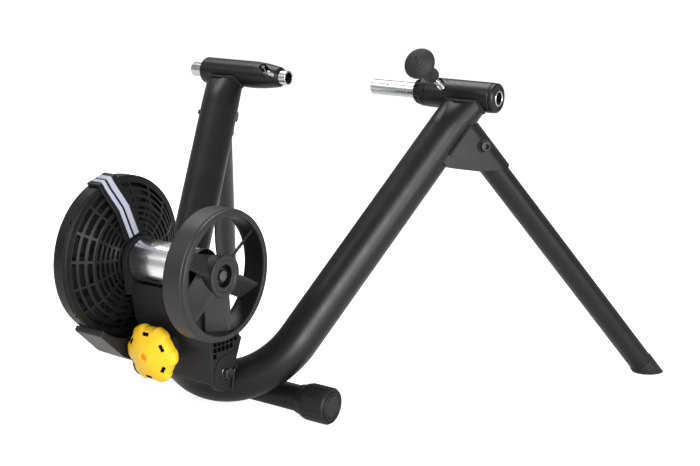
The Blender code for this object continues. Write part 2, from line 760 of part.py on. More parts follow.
def build_pivot_bracket():
    """Frame bracket under the unit: two lugs, a barrel for the pivot bolt and two tall anchor plates."""
    pivot = (PIVOT_Y, PIVOT_Z)
    low = bend_bottom()
    seat = (low.y - AXLE_Y, low.z)
    bore = PIVOT_BOLT_R + PIN_GAP
    left, right = PIVOT_BARREL
    profile = ((left, bore), (left, PIVOT_BARREL_R), (right, PIVOT_BARREL_R), (right, bore))
    barrel = on_pivot("unit_pivot_bracket", profile, True)
    ring = circle(pivot, LUG_R, 0.0, 324.0, 9)
    lug = hull(ring + [(seat[0] - 22.0, seat[1] + 4.0), seat, (seat[0] - 6.0, seat[1] + 30.0)])
    top = circle(ANCHOR, PLATE_R, 0.0, 324.0, 9)
    tall = hull(ring + top + [(seat[0] + 4.0, seat[1] + 8.0), (seat[0] - 14.0, seat[1] + 8.0)])
    plates = [(lug, low_x, high_x) for low_x, high_x in LUG_X]
    plates += [(tall, ROD_X - 12.5, ROD_X - 7.5), (tall, ROD_X + 7.5, ROD_X + 12.5)]
    for index, (outline, low_x, high_x) in enumerate(plates):
        join(barrel, side_prism("guide_lug_%d" % index, outline, low_x, high_x))
    cut(barrel, frame_sweep("cutter_bend", TUBE_R + SEAT_GAP, TUBE_SIDES, BEND_STEPS))
    cut(barrel, on_pivot("cutter_pivot_bore", drill(-60.0, 46.0, bore)))
    return cut(barrel, lathe("cutter_anchor_bore", drill(-40.0, 10.0, ANCHOR_R + PIN_GAP),
                             point(0, ANCHOR[0], ANCHOR[1]), (1, 0, 0), ANCHOR_SIDES, (0, -1, 0)))


def build_body_shell():
    """Outer form of the cast body, with round ears at the pivot and arms up to the shaft."""
    body = side_prism("unit_body", by_pivot(BODY_OUTLINE), BODY_X[0], BODY_X[1])
    pivot = (PIVOT_Y, PIVOT_Z)
    slant = math.degrees(math.atan2(-18.0, 33.4))
    ear = circle(pivot, EAR_R, slant + 66.0, slant + 294.0, 11)
    join(body, side_prism("guide_ears", ear, BODY_X[0], BODY_X[1]))
    shaft = (ROLLER_Y, ROLLER_Z)
    near_arm = hull(circle(shaft, NEAR_ARM[2], 0.0, 180.0, 9) + by_pivot(NEAR_ARM_FOOT))
    far_arm = hull(circle(shaft, FAR_ARM[2], 0.0, 180.0, 9) + by_pivot(FAR_ARM_FOOT))
    join(body, side_prism("guide_near_arm", near_arm, NEAR_ARM[0], NEAR_ARM[1]))
    join(body, side_prism("guide_far_arm", far_arm, FAR_ARM[0], FAR_ARM[1]))
    join(body, side_prism("guide_rod_nose", rod_nose_outline(), ROD_X - 12.5, ROD_X + 12.5))
    return body


def by_pivot(points):
    """Place side-view points that are given from the pivot line."""
    return [(PIVOT_Y + y, PIVOT_Z + z) for y, z in points]


def by_drum(points):
    """Place side-view points that are given from the drum's lowest line."""
    return [(ROLLER_Y + y, ROLLER_Z - DRUM_R + z) for y, z in points]


def rod_place(distance, offset=0.0):
    """Give the (Y, Z) place along the adjuster rod, with an offset square to it."""
    ahead, up = ROD_DIR[1], ROD_DIR[2]
    return ANCHOR[0] + ahead * distance - up * offset, ANCHOR[1] + up * distance + ahead * offset


def rod_nose_outline():
    """Side view of the rounded boss that the adjuster bears on."""
    back = math.degrees(math.atan2(ROD_DIR[2], ROD_DIR[1]))
    centre = rod_place(ROD_NOSE - 14.0)
    return circle(centre, 14.0, back - 78.0, back + 78.0, 8) + [rod_place(50.5, 12.0), rod_place(50.5, -12.0)]


def side_pockets():
    """List the pockets of the near side that clear the ear, the slanting edge and the top."""
    pockets = []
    for column in range(5):
        for row in range(6):
            left = POCKET_START[0] + POCKET_PITCH * column
            low = POCKET_START[1] + POCKET_PITCH * row
            right = left + POCKET_SIZE
            high = low + POCKET_SIZE
            corners = [(left, low), (right, low), (left, high), (right, high)]
            if min(math.hypot(y, z) for y, z in corners) < EAR_R + 1.0:
                continue
            if max(y - 0.42 * z for y, z in corners) > 4.962:
                continue
            if max(z + 0.5 * y for y, z in corners) > 67.05:
                continue
            first = (BODY_X[1] - POCKET_DEPTH, PIVOT_Y + left, PIVOT_Z + low)
            pockets.append((first, (BODY_X[1] + POCKET_DEPTH, PIVOT_Y + right, PIVOT_Z + high)))
    return pockets


def build_unit_body():
    """Cast body: hollow below, cradle under the roller, ribbed pockets in its near side."""
    body = build_body_shell()
    cut(body, side_prism("cutter_body_hollow", by_pivot(BODY_HOLLOW), BODY_X[0] + BODY_WALL, BODY_X[1] - 6.0))
    cut(body, on_shaft("cutter_cradle", drill(CRADLE_X[0], CRADLE_X[1], CRADLE_R), 28))
    front, rear, top = PIVOT_Y - 110.0, PIVOT_Y + 40.0, PIVOT_Z + 200.0
    above = [((NEAR_ARM[1], front, PIVOT_Z + NEAR_TOP), (60.0, rear, top)),
             ((CRADLE_X[0], front, PIVOT_Z + WALL_TOP), (CRADLE_X[1], rear, top))]
    cut(body, box_list("cutter_above_walls", above))
    cut(body, on_pivot("cutter_body_pivot", drill(-70.0, 60.0, PIVOT_BOLT_R + PIN_GAP)))
    cut(body, on_shaft("cutter_bearing_seats", drill(-70.0, 60.0, BEARING_R + SEAT_GAP), BEARING_SIDES))
    slot = [rod_place(20.0, 8.5), rod_place(20.0, -8.5), rod_place(90.0, -8.5), rod_place(90.0, 8.5)]
    cut(body, side_prism("cutter_rod_slot", slot, ROD_X - ROD_R - 0.9, ROD_X + ROD_R + 0.9))
    return cut(body, box_list("cutter_side_pockets", side_pockets()))


def build_pivot_bolt():
    """Long bolt through the ears and the frame's barrel, head on the lever side."""
    near = BODY_X[1] + SEAT_GAP
    face = near + WASHER_T
    far = BODY_X[0] - SEAT_GAP
    radius = PIVOT_BOLT_R
    profile = (
        (face, 0.0), (face, 8.8), (near, 8.8), (near, radius), (far, radius), (far, HEX_R),
        (far - 6.5, HEX_R), (far - 6.5, 0.0),
    )
    bolt = on_pivot("unit_pivot_bolt", profile)
    head = lathe("guide_pivot_head", drill(face - 0.6, face + HEX_H + 0.4, HEX_R),
                 point(0, PIVOT_Y, PIVOT_Z), (1, 0, 0), 6, (0, 1, 0.6))
    return join(bolt, head)


def wire_line():
    """List (Y, Z) places along the bent wire."""
    return by_pivot(list(WIRE_UP) + circle(WIRE_LOOP, WIRE_LOOP_R, 170.0, 10.0, 6) + list(WIRE_DOWN))


def build_wire_hook():
    """Bent wire keeper that stands up from the bend beside the pivot bolt."""
    line = wire_line()
    verts = []
    faces = []
    for index, (y, z) in enumerate(line):
        before = line[max(index - 1, 0)]
        after = line[min(index + 1, len(line) - 1)]
        across = unit((0.0, after[0] - before[0], after[1] - before[1])).cross(Vector((1.0, 0.0, 0.0)))
        for step in range(WIRE_SIDES):
            turn = 2.0 * math.pi * step / WIRE_SIDES
            round_it = across * math.cos(turn) + Vector((math.sin(turn), 0.0, 0.0))
            verts.append(point(WIRE_X, y, z) + round_it * WIRE_R)
    for index in range(len(line) - 1):
        for step in range(WIRE_SIDES):
            following = (step + 1) % WIRE_SIDES
            low = index * WIRE_SIDES
            high = low + WIRE_SIDES
            faces.append((low + step, low + following, high + following, high + step))
    faces.append(tuple(range(WIRE_SIDES)))
    faces.append(tuple(range((len(line) - 1) * WIRE_SIDES, len(line) * WIRE_SIDES)))
    hook = add_mesh("pivot_wire_hook", verts, faces)
    return cut(hook, frame_sweep("cutter_bend_hook", TUBE_R + SEAT_GAP, TUBE_SIDES, BEND_STEPS))


def build_roller():
    """Turned steel roller with recessed ends."""
    start, end = ROLLER_X
    bore = SPINDLE_R + SEAT_GAP
    profile = (
        (start, 21.5), (start, ROLLER_R - 0.8), (start + 0.8, ROLLER_R), (end - 0.8, ROLLER_R),
        (end, ROLLER_R - 0.8), (end, 21.5), (end - 6.0, 10.0), (end - 1.5, bore), (start + 1.5, bore),
        (start + 6.0, 10.0),
    )
    return on_shaft("roller", profile, 28, True)


def build_spindle():
    """Shaft that carries the rotor, the roller and the flywheel."""
    start, end = SPINDLE_X
    profile = ((start, 0.0), (start, SPINDLE_R - 0.8), (start + 0.8, SPINDLE_R), (end, SPINDLE_R), (end, 0.0))
    return on_shaft("roller_spindle", profile, BEARING_SIDES)


def build_bearing(name, start, end):
    """Ball bearing as one closed ring."""
    inner = SPINDLE_R + PIN_GAP
    profile = ((start, inner), (start, BEARING_R), (end, BEARING_R), (end, inner))
    return on_shaft(name, profile, BEARING_SIDES, True)


def fly_place(x, radius, angle):
    """Place a point on the flywheel, angle in degrees from forward, upwards."""
    turn = math.radians(angle)
    return point(x, ROLLER_Y + radius * math.cos(turn), ROLLER_Z + radius * math.sin(turn))


def blade_ring():
    """Twisted blades: each front edge leans at the hub, each rear edge trails behind it."""
    front = FLY_X[1] - 4.2
    rear = FLY_X[0] + 2.6
    verts = []
    faces = []
    for blade in range(FLY_BLADES):
        first = FLY_BLADE_START + 360.0 * blade / FLY_BLADES
        base = len(verts)
        for radius, lean, shift in FLY_STATIONS:
            swept = math.degrees(shift / radius)
            thick = math.degrees(FLY_BLADE_HALF / radius) * math.hypot(shift, front - rear) / (front - rear)
            for x, angle in ((front, first + lean), (rear, first + lean - swept)):
                verts.append(fly_place(x, radius, angle - thick))
                verts.append(fly_place(x, radius, angle + thick))
        last = base + 4 * (len(FLY_STATIONS) - 1)
        for a in range(base, last, 4):
            for i, j in ((0, 1), (1, 3), (3, 2), (2, 0)):
                faces.append((a + i, a + j, a + 4 + j, a + 4 + i))
        faces.append((base, base + 1, base + 3, base + 2))
        faces.append((last, last + 2, last + 3, last + 1))
    return add_mesh("guide_fly_blades", verts, faces)


def build_flywheel():
    """Flywheel with a heavy rim, a recessed hub and twisted fan blades."""
    start, end = FLY_X
    inner = FLY_RIM_INNER
    rim = (
        (start, inner), (start, FLY_R), (end - 5.0, FLY_R), (end - 4.6, FLY_R - 1.4),
        (end - 0.8, FLY_R - 1.4), (end, FLY_R - 2.4), (end, inner + 1.0), (end - 1.0, inner),
    )
    wheel = on_shaft("flywheel", rim, 32, True)
    bore = SPINDLE_R + SEAT_GAP
    hub = (
        (start + 1.5, bore), (start + 1.5, 20.0), (end - 3.6, FLY_HUB_R), (end - 2.6, FLY_HUB_R - 1.0),
        (end - 2.6, 13.0), (64.4, 13.0), (64.4, bore),
    )
    join(wheel, on_shaft("guide_fly_hub", hub, 20, True))
    return join(wheel, blade_ring())


def build_flywheel_bolt():
    """Bolt in the hub's recess that holds the flywheel on the spindle."""
    start = SPINDLE_X[1] + 0.7
    profile = (
        (start, 0.0), (start, 9.2), (start + 1.4, 9.2), (start + 1.4, 5.6), (start + 6.2, 5.2),
        (start + 6.8, 0.0),
    )
    return on_shaft("flywheel_bolt", profile, 12)


def build_drum_shell():
    """Open drum that houses the brake: side wall and flat back with a stiffening ring."""
    start, end = DRUM_X
    rim = end - 2.0 - SEAT_GAP
    inner = DRUM_R - DRUM_WALL
    back = start + DRUM_BACK
    profile = (
        (start, 0.0), (start, 30.0), (start - 2.0, 33.0), (start - 2.0, 60.0), (start, 63.0),
        (start, DRUM_R - 3.0), (start + 3.0, DRUM_R), (rim, DRUM_R), (rim, inner), (back, inner), (back, 0.0),
    )
    return on_shaft("drum_shell", profile, DRUM_SIDES)


def grille_height(radius):
    """Height of the grille's outer face above the drum's rim at a radius."""
    for (r0, h0), (r1, h1) in zip(GRILLE_PROFILE[:-1], GRILLE_PROFILE[1:]):
        if r1 <= radius <= r0:
            return h0 + (h1 - h0) * (r0 - radius) / (r0 - r1)
    return GRILLE_PROFILE[-1][1]


def build_grille():
    """Domed cover made of two cones, pierced by rings of arc-shaped slots between radial ribs."""
    radii = [GRILLE_PROFILE[-1][0]]
    open_ring = [False]
    for low, high in GRILLE_SLOTS:
        radii += [DRUM_R - low, DRUM_R - high]
        open_ring += [True, False]
    position = next(i for i, radius in enumerate(radii) if radius > GRILLE_KNEE)
    radii.insert(position, GRILLE_KNEE)
    open_ring.insert(position, False)
    radii += [GRILLE_SHOULDER, DRUM_R]
    open_ring += [False]
    pitch = 360.0 / GRILLE_SECTORS
    angles = []
    open_sector = []
    for sector in range(GRILLE_SECTORS):
        start = BAND_ANGLE - 0.5 * pitch + pitch * sector
        solid = sector == 0
        angles += [start, start + GRILLE_RIB, start + 0.5 * (pitch + GRILLE_RIB)]
        open_sector += [False, not solid, not solid]
    count = len(angles)
    verts = []
    index = {}
    for side in (0, 1):
        for i, radius in enumerate(radii):
            for j, angle in enumerate(angles):
                x = DRUM_X[1] + grille_height(radius) - (GRILLE_T if side else 0.0)
                index[(side, i, j)] = len(verts)
                verts.append(fly_place(x, radius, angle))
    faces = []

    def is_open(i, j):
        if i < 0 or i >= len(radii) - 1:
            return True
        return open_ring[i] and open_sector[j % count]

    for i in range(len(radii) - 1):
        for j in range(count):
            if is_open(i, j):
                continue
            k = (j + 1) % count
            for side in (0, 1):
                faces.append((index[(side, i, j)], index[(side, i, k)], index[(side, i + 1, k)],
                              index[(side, i + 1, j)]))
            if is_open(i - 1, j):
                faces.append((index[(0, i, j)], index[(1, i, j)], index[(1, i, k)], index[(0, i, k)]))
            if is_open(i + 1, j):
                faces.append((index[(0, i + 1, j)], index[(0, i + 1, k)], index[(1, i + 1, k)],
                              index[(1, i + 1, j)]))
            if is_open(i, j - 1):
                faces.append((index[(0, i, j)], index[(0, i + 1, j)], index[(1, i + 1, j)], index[(1, i, j)]))
            if is_open(i, j + 1):
                faces.append((index[(0, i, k)], index[(1, i, k)], index[(1, i + 1, k)], index[(0, i + 1, k)]))
    return add_mesh("fan_grille", verts, faces)


def band_prism(name, lower, upper, left, right):
    """Make a strip that runs out from the drum's hub, from (X, radius) lines and offsets across it."""
    turn = math.radians(BAND_ANGLE)
    outward = Vector((0.0, math.cos(turn), math.sin(turn)))
    across = Vector((0.0, math.sin(turn), -math.cos(turn)))
    outline = list(lower) + list(reversed(upper))
    return prism(name, outline, point(0, ROLLER_Y, ROLLER_Z), (1, 0, 0), outward, across, left, right)


def band_line(lift, hub, rear):
    """Line of (X, radius) pairs along the drum's outside, lifted off its surface."""
    rim = DRUM_X[1]
    return (
        (rear, DRUM_R + lift), (rim + 0.12 * lift, DRUM_R + lift),
        (rim + 0.7 + 0.9 * lift, GRILLE_SHOULDER + 0.6 * lift),
        (rim + 14.5 + 0.95 * lift, GRILLE_KNEE + 0.4 * lift),
        (rim + 20.3 + lift, hub),
    )


def build_band_cover():
    """Raised strip over the drum's side wall and down the grille to the hub."""
    rear = DRUM_X[0] + 4.0
    lower = band_line(0.35, 29.5, rear)
    return band_prism("band_cover", lower, band_line(3.2, 29.5, rear), -BAND_HALF, BAND_HALF)


def build_band_stripe(name, left, right):
    """Pale trim strip laid on the raised strip."""
    rear = DRUM_X[0] + 5.0
    return band_prism(name, band_line(3.5, 30.5, rear), band_line(4.3, 30.5, rear), left, right)


def build_lower_cover():
    """Chin under the drum: a hollow moulding that follows the drum's curve."""
    left = DRUM_X[0] + SEAT_GAP
    right = BODY_X[0] - SEAT_GAP
    cover = side_prism("lower_cover", by_drum(CHIN_OUTLINE), left, right)
    cut(cover, side_prism("cutter_cover_hollow", by_drum(CHIN_HOLLOW), left + CHIN_WALL, right - CHIN_WALL))
    cut(cover, on_shaft("cutter_cover_drum", drill(-110.0, -40.0, DRUM_R + SEAT_GAP), DRUM_SIDES))
    place = point(DRUM_X[0], *by_drum([SOCKET])[0])
    return cut(cover, lathe("cutter_socket", drill(-0.5, 5.0, 4.6), place, (1, 0, 0), BOLT_SIDES))


def build_brake_rotor():
    """Conducting disc on the spindle with fan vanes that blow through the grille."""
    bore = SPINDLE_R + SEAT_GAP
    disc = ((-94.0, bore), (-94.0, 82.0), (-91.5, 82.0), (-91.5, 16.0), (-84.0, 14.0), (-84.0, bore))
    rotor = on_shaft("brake_rotor", disc, 24, True)
    verts = []
    faces = []
    for vane in range(ROTOR_VANES):
        angle = 360.0 * vane / ROTOR_VANES
        base = len(verts)
        for radius, top in ((34.0, -80.0), (78.0, -84.0)):
            half = math.degrees(1.1 / radius)
            for x in (-92.0, top):
                for turn in (-half, half):
                    verts.append(fly_place(x, radius, angle + turn + 0.35 * (radius - 34.0)))
        for face in BOX_FACES:
            faces.append(tuple(base + corner for corner in face))
    return join(rotor, add_mesh("guide_rotor_vanes", verts, faces))


def build_magnet_plate():
    """Fixed plate on the drum's back that carries the magnet pads."""
    plate = ((-99.0, 12.0), (-99.0, 84.0), (-97.4, 84.0), (-97.4, 12.0))
    result = on_shaft("magnet_plate", plate, 24, True)
    verts = []
    faces = []
    for pad in range(6):
        angle = 60.0 * pad + 8.0
        base = len(verts)
        for radius in (52.0, 76.0):
            for x in (-98.0, -94.8):
                for turn in (-13.0, 13.0):
                    verts.append(fly_place(x, radius, angle + turn))
        for face in BOX_FACES:
            faces.append(tuple(base + corner for corner in face))
    return join(result, add_mesh("guide_magnet_pads", verts, faces))


def build_control_board():
    """Circuit board in the chin under the drum."""
    return side_prism("control_board", by_drum(BOARD), -94.0, -66.0)


def build_power_inlet():
    """Socket in the chin's outer side."""
    profile = ((0.2, 0.0), (0.2, 4.2), (3.3, 4.2), (3.3, 5.6), (14.0, 5.6), (14.0, 0.0))
    place = point(DRUM_X[0] + SEAT_GAP, *by_drum([SOCKET])[0])
    inlet = lathe("power_inlet", profile, place, (1, 0, 0), 12)
    return cut(inlet, lathe("cutter_inlet_bore", drill(-1.0, 10.0, 2.6), place, (1, 0, 0), 8))


def build_rod():
    """Threaded rod between the anchor and the knob."""
    small = ROD_R - 0.8
    profile = (
        (-9.0, 0.0), (-9.0, small), (-8.2, ROD_R), (ROD_END - 0.8, ROD_R), (ROD_END, small), (ROD_END, 0.0),
    )
    return on_rod("adjuster_rod", profile, BOLT_SIDES)


def build_anchor_pin():
    """Cross pin that turns in the frame's anchor plates and holds the rod."""
    small = ANCHOR_R - 0.8
    profile = ((-14.0, 0.0), (-14.0, small), (-13.2, ANCHOR_R), (13.2, ANCHOR_R), (14.0, small), (14.0, 0.0))
    centre = point(ROD_X, ANCHOR[0], ANCHOR[1])
    pin = lathe("anchor_pin", profile, centre, (1, 0, 0), ANCHOR_SIDES, (0, -1, 0))
    return cut(pin, on_rod("cutter_pin_cross", drill(-12.0, 12.0, ROD_R + ROD_FIT), BOLT_SIDES))


def build_knob_washer():
    """Thrust washer between the body's rounded boss and the knob."""
    start = ROD_NOSE + SEAT_GAP
    end = KNOB_START - SEAT_GAP
    inner = ROD_R + ROD_FIT
    profile = ((start, inner), (start, 9.5), (end, 9.5), (end, inner))
    return on_rod("knob_washer", profile, BOLT_SIDES, True)


def knob_radius(base, angle, depth):
    """Radius of the knob's lobed outline at an angle."""
    wave = math.cos(math.radians(KNOB_LOBES * angle))
    step = max(-1.0, min(1.0, 2.4 * wave))
    return base - depth * (0.5 - 0.5 * step)


def lobed_solid(name, rings):
    """Turn (along, radius, lobe depth) rings into a closed lobed solid round the adjuster rod."""
    segments = KNOB_LOBES * KNOB_STEPS
    origin = point(ROD_X, ANCHOR[0], ANCHOR[1])
    axis = unit(ROD_DIR)
    side = Vector((1.0, 0.0, 0.0))
    other = axis.cross(side)
    verts = []
    for along, radius, depth in rings:
        for step in range(segments):
            angle = 360.0 * step / segments
            turn = math.radians(angle)
            reach = knob_radius(radius, angle, depth)
            verts.append(origin + axis * along + (side * math.cos(turn) + other * math.sin(turn)) * reach)
    faces = [tuple(range(segments)), tuple(range((len(rings) - 1) * segments, len(rings) * segments))]
    for ring in range(len(rings) - 1):
        low = ring * segments
        for step in range(segments):
            following = (step + 1) % segments
            faces.append((low + step, low + following, low + segments + following, low + segments + step))
    return add_mesh(name, verts, faces)


def knob_slots():
    """Cutters for the slots, one in each lobe."""
    origin = point(ROD_X, ANCHOR[0], ANCHOR[1])
    axis = unit(ROD_DIR)
    side = Vector((1.0, 0.0, 0.0))
    other = axis.cross(side)
    near, far, half = KNOB_SLOT
    verts = []
    faces = []
    for lobe in range(KNOB_LOBES):
        turn = math.radians(360.0 * (lobe + 0.5) / KNOB_LOBES)
        out = side * math.cos(turn) + other * math.sin(turn)
        tangent = other * math.cos(turn) - side * math.sin(turn)
        base = len(verts)
        for along in (KNOB_START + 12.0, KNOB_START + 30.0):
            for reach in (near, far):
                for shift in (-half, half):
                    verts.append(origin + axis * along + out * reach + tangent * shift)
        for face in BOX_FACES:
            faces.append(tuple(base + corner for corner in face))
    return add_mesh("cutter_knob_slots", verts, faces)


def build_adjuster_knob():
    """Domed knob with six lobes, a dimple and slots near the rim."""
    rings = (
        (KNOB_START, 13.0, 0.0), (KNOB_START + 4.0, 32.6, 3.4), (KNOB_START + 13.0, KNOB_R, 3.8),
        (KNOB_START + 16.5, 35.0, 3.8), (KNOB_START + 20.5, 31.0, 1.8), (KNOB_END - 2.0, 16.0, 0.0),
        (KNOB_END, 3.2, 0.0),
    )
    knob = lobed_solid("adjuster_knob", rings)
    bore = drill(KNOB_START - 2.0, KNOB_START + 21.4, ROD_R + SEAT_GAP)
    cut(knob, on_rod("cutter_knob_bore", bore, BOLT_SIDES))
    dimple = ((KNOB_END - 1.2, 0.0), (KNOB_END + 0.4, 2.8), (KNOB_END + 2.0, 2.8), (KNOB_END + 2.0, 0.0))
    cut(knob, on_rod("cutter_knob_dimple", dimple, 8))
    return cut(knob, knob_slots())


def make_material(name, colour, metallic, roughness):
    """Make a Principled material."""
    material = bpy.data.materials.new(name)
    material.use_nodes = True
    shader = material.node_tree.nodes["Principled BSDF"]
    shader.inputs["Base Color"].default_value = (colour[0], colour[1], colour[2], 1.0)
    shader.inputs["Metallic"].default_value = metallic
    shader.inputs["Roughness"].default_value = roughness
    material.diffuse_color = (colour[0], colour[1], colour[2], 1.0)
    return material


def make_materials():
    """Make every material once."""
    return {
        "black_paint": make_material("black_paint", (0.018, 0.018, 0.019), 0.0, 0.38),
        "plated_steel": make_material("plated_steel", (0.62, 0.64, 0.62), 1.0, 0.24),
        "polished_steel": make_material("polished_steel", (0.72, 0.72, 0.73), 1.0, 0.16),
        "black_rubber": make_material("black_rubber", (0.022, 0.022, 0.023), 0.0, 0.72),
        "grip_rubber": make_material("grip_rubber", (0.03, 0.03, 0.031), 0.0, 0.62),
        "black_plastic": make_material("black_plastic", (0.02, 0.02, 0.021), 0.0, 0.5),
        "cast_black": make_material("cast_black", (0.02, 0.02, 0.022), 0.1, 0.48),
        "grey_plastic": make_material("grey_plastic", (0.07, 0.07, 0.072), 0.0, 0.5),
        "fly_grey": make_material("fly_grey", (0.055, 0.055, 0.056), 0.0, 0.46),
        "band_pale": make_material("band_pale", (0.5, 0.5, 0.68), 0.0, 0.42),
        "yellow_plastic": make_material("yellow_plastic", (0.92, 0.62, 0.02), 0.0, 0.4),
        "aluminium": make_material("aluminium", (0.7, 0.7, 0.71), 1.0, 0.35),
        "dark_bolt": make_material("dark_bolt", (0.05, 0.05, 0.05), 0.8, 0.35),
        "board_green": make_material("board_green", (0.03, 0.18, 0.08), 0.0, 0.5),
    }


def place_origin(target, centre):
    """Move an object's origin to a world place given in millimetres, keeping its shape where it is."""
    target.data.transform(Matrix.Translation(-centre))
    target.location = centre


def to_metres():
    """Scale every mesh from millimetres to metres about its own origin."""
    for item in bpy.context.scene.objects:
        item.data.transform(Matrix.Scale(MM, 4))
        item.location = item.location * MM


def build_all():
    """Build every piece with its material and its origin."""
    mats = make_materials()
    clamp = point(0, 0, AXLE_Z)
    shaft_line = point(0, ROLLER_Y, ROLLER_Z)
    pivot_line = point(0, PIVOT_Y, PIVOT_Z)
    anchor = point(ROD_X, ANCHOR[0], ANCHOR[1])
    near_leg = leg_frame(1)
    far_leg = leg_frame(-1)
    near_hinge = near_leg[0] + near_leg[1] * LEG_HINGE_AT
    far_hinge = far_leg[0] + far_leg[1] * LEG_HINGE_AT
    pieces = [
        (build_main_tube(), "black_paint", None),
        (build_crossbar(), "black_paint", None),
        (build_crossbar_foot("crossbar_foot_near", 1), "black_rubber", None),
        (build_crossbar_foot("crossbar_foot_far", -1), "black_rubber", None),
        (build_near_housing(), "black_paint", None),
        (build_near_collar(), "black_plastic", None),
        (build_far_housing(), "black_paint", None),
        (build_leg_bracket("leg_bracket_near", 1), "black_paint", None),
        (build_leg_bracket("leg_bracket_far", -1), "black_paint", None),
        (build_pivot_bracket(), "black_paint", None),
        (build_pivot_bolt(), "plated_steel", None),
        (build_wire_hook(), "black_paint", None),
        (build_leg_bolt("leg_bolt_near", 1), "dark_bolt", None),
        (build_leg_bolt("leg_bolt_far", -1), "dark_bolt", None),
        (build_washer("clamp_thrust_washer", NEAR_HOUSING_END - 1.0, -1), "plated_steel", clamp),
        (build_near_shaft(), "plated_steel", clamp),
        (build_lever_stem(), "plated_steel", clamp),
        (build_lever_knob(), "grip_rubber", clamp),
        (build_washer("cup_thrust_washer", FAR_HOUSING_START + 1.0, 1), "plated_steel", clamp),
        (build_far_shaft(), "plated_steel", clamp),
        (build_lock_pin(), "dark_bolt", clamp),
        (build_leg_tube("leg_tube_near", 1), "black_paint", near_hinge),
        (build_leg_foot("leg_foot_near", 1), "black_rubber", near_hinge),
        (build_leg_tube("leg_tube_far", -1), "black_paint", far_hinge),
        (build_leg_foot("leg_foot_far", -1), "black_rubber", far_hinge),
        (build_unit_body(), "cast_black", pivot_line),
        (build_drum_shell(), "black_plastic", pivot_line),
        (build_grille(), "black_plastic", pivot_line),
        (build_band_cover(), "black_plastic", pivot_line),
        (build_band_stripe("band_stripe_wide", 0.6, 7.4), "band_pale", pivot_line),
        (build_band_stripe("band_stripe_narrow", -5.6, -1.8), "band_pale", pivot_line),
        (build_lower_cover(), "grey_plastic", pivot_line),
        (build_magnet_plate(), "aluminium", pivot_line),
        (build_control_board(), "board_green", pivot_line),
        (build_power_inlet(), "black_plastic", pivot_line),
        (build_bearing("bearing_near", 35.4, 41.6), "plated_steel", pivot_line),
        (build_bearing("bearing_far", -57.6, -52.4), "plated_steel", pivot_line),
        (build_roller(), "polished_steel", shaft_line),
        (build_spindle(), "plated_steel", shaft_line),
        (build_flywheel(), "fly_grey", shaft_line),
        (build_flywheel_bolt(), "plated_steel", shaft_line),
        (build_brake_rotor(), "aluminium", shaft_line),
        (build_anchor_pin(), "plated_steel", anchor),
        (build_rod(), "plated_steel", anchor),
        (build_knob_washer(), "plated_steel", anchor),
        (build_adjuster_knob(), "yellow_plastic", anchor),
    ]
    for piece, slot, centre in pieces:
        piece.data.materials.append(mats[slot])
        if centre is not None:
            place_origin(piece, centre)
    to_metres()


def main():
    """Clear the file and build the trainer."""
    clear_scene()
    build_all()


main()
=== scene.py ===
import math

import bmesh
import bpy
from bpy.props import FloatProperty, FloatVectorProperty, IntProperty, PointerProperty
from mathutils import Matrix, Vector


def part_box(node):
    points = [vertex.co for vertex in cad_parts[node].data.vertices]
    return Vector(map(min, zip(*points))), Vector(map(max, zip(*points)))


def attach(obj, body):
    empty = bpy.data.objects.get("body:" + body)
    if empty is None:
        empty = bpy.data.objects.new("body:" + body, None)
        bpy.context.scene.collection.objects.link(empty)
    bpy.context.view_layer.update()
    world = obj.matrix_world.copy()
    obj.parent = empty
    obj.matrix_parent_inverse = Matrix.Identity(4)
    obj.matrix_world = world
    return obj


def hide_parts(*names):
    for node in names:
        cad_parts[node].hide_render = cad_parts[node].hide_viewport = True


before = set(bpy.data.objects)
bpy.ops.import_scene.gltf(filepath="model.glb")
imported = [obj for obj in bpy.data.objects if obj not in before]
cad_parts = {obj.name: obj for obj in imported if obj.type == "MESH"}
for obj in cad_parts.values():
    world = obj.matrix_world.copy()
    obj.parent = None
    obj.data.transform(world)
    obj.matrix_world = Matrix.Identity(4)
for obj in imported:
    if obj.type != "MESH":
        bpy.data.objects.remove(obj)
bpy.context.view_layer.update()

bl_info = {
    "name": "Wheel-on bike trainer",
    "version": (1, 0, 0),
    "blender": (4, 5, 0),
    "location": "3D View > Sidebar > Trainer",
    "description": "Builds a folding bike trainer with roller, flywheel and vented drum on its frame",
    "category": "Add Mesh",
}

# Lengths are millimetres, turned to metres when a piece is finished. X runs to the lever side, Z up.
MM = 0.001
ALONG_X = (1, 0, 0)

# A length below this counts as none, and a corner flatter than this angle stays as it is.
TINY = 1e-6
NEARLY_STRAIGHT = math.radians(172.0)

# The clamp line, the tube and its bend. An arm leans towards the middle by ARM_IN and back by ARM_BACK for
# each unit of fall. BEND_REACH runs in the tube's plane, from the clamp line to the bottom of the bend.
# At its top an arm is ARM_PINCH of its depth, easing out over PINCH_LENGTH, and ends ARM_END under the line.
AXLE_Z = 378.7
TUBE_R = 25.4
ARM_X = 194.35
ARM_IN = 0.347
ARM_BACK = 0.768
BEND_R = 99.1
BEND_REACH = 431.6
ARM_PINCH = 0.78
PINCH_LENGTH = 58.0
PINCH_STEPS = 12
ARM_END = 4.0
TUBE_NORMAL = Vector((0.0, -1.0, ARM_BACK)).normalized()

# Dent in front of a flattened arm: its depth as a share of the tube's, and its width in radians.
DENT_DEPTH = 0.13
DENT_WIDTH = 0.42

# Crossbar, and how far its welds run from the middle and stand from the contact, in radians.
BAR_R = 16.0
BAR_Y = -221.0
BAR_Z = 22.6
BAR_HALF = 143.0
BAR_WELD_HALF = 46.0
BAR_WELD_LIFT = 0.42

# Bolts and the bores round them.
BOLT_R = 4.0
BORE_R = 4.1

# Weld beads: radius of the core and of a ripple and the ripple's length, as shares; width and pitch of a
# bracket's bead.
CORE_SHARE = 0.42
RIPPLE_SHARE = 0.54
RIPPLE_LENGTH = 0.62
BRACKET_WELD = (4.4, 1.8)

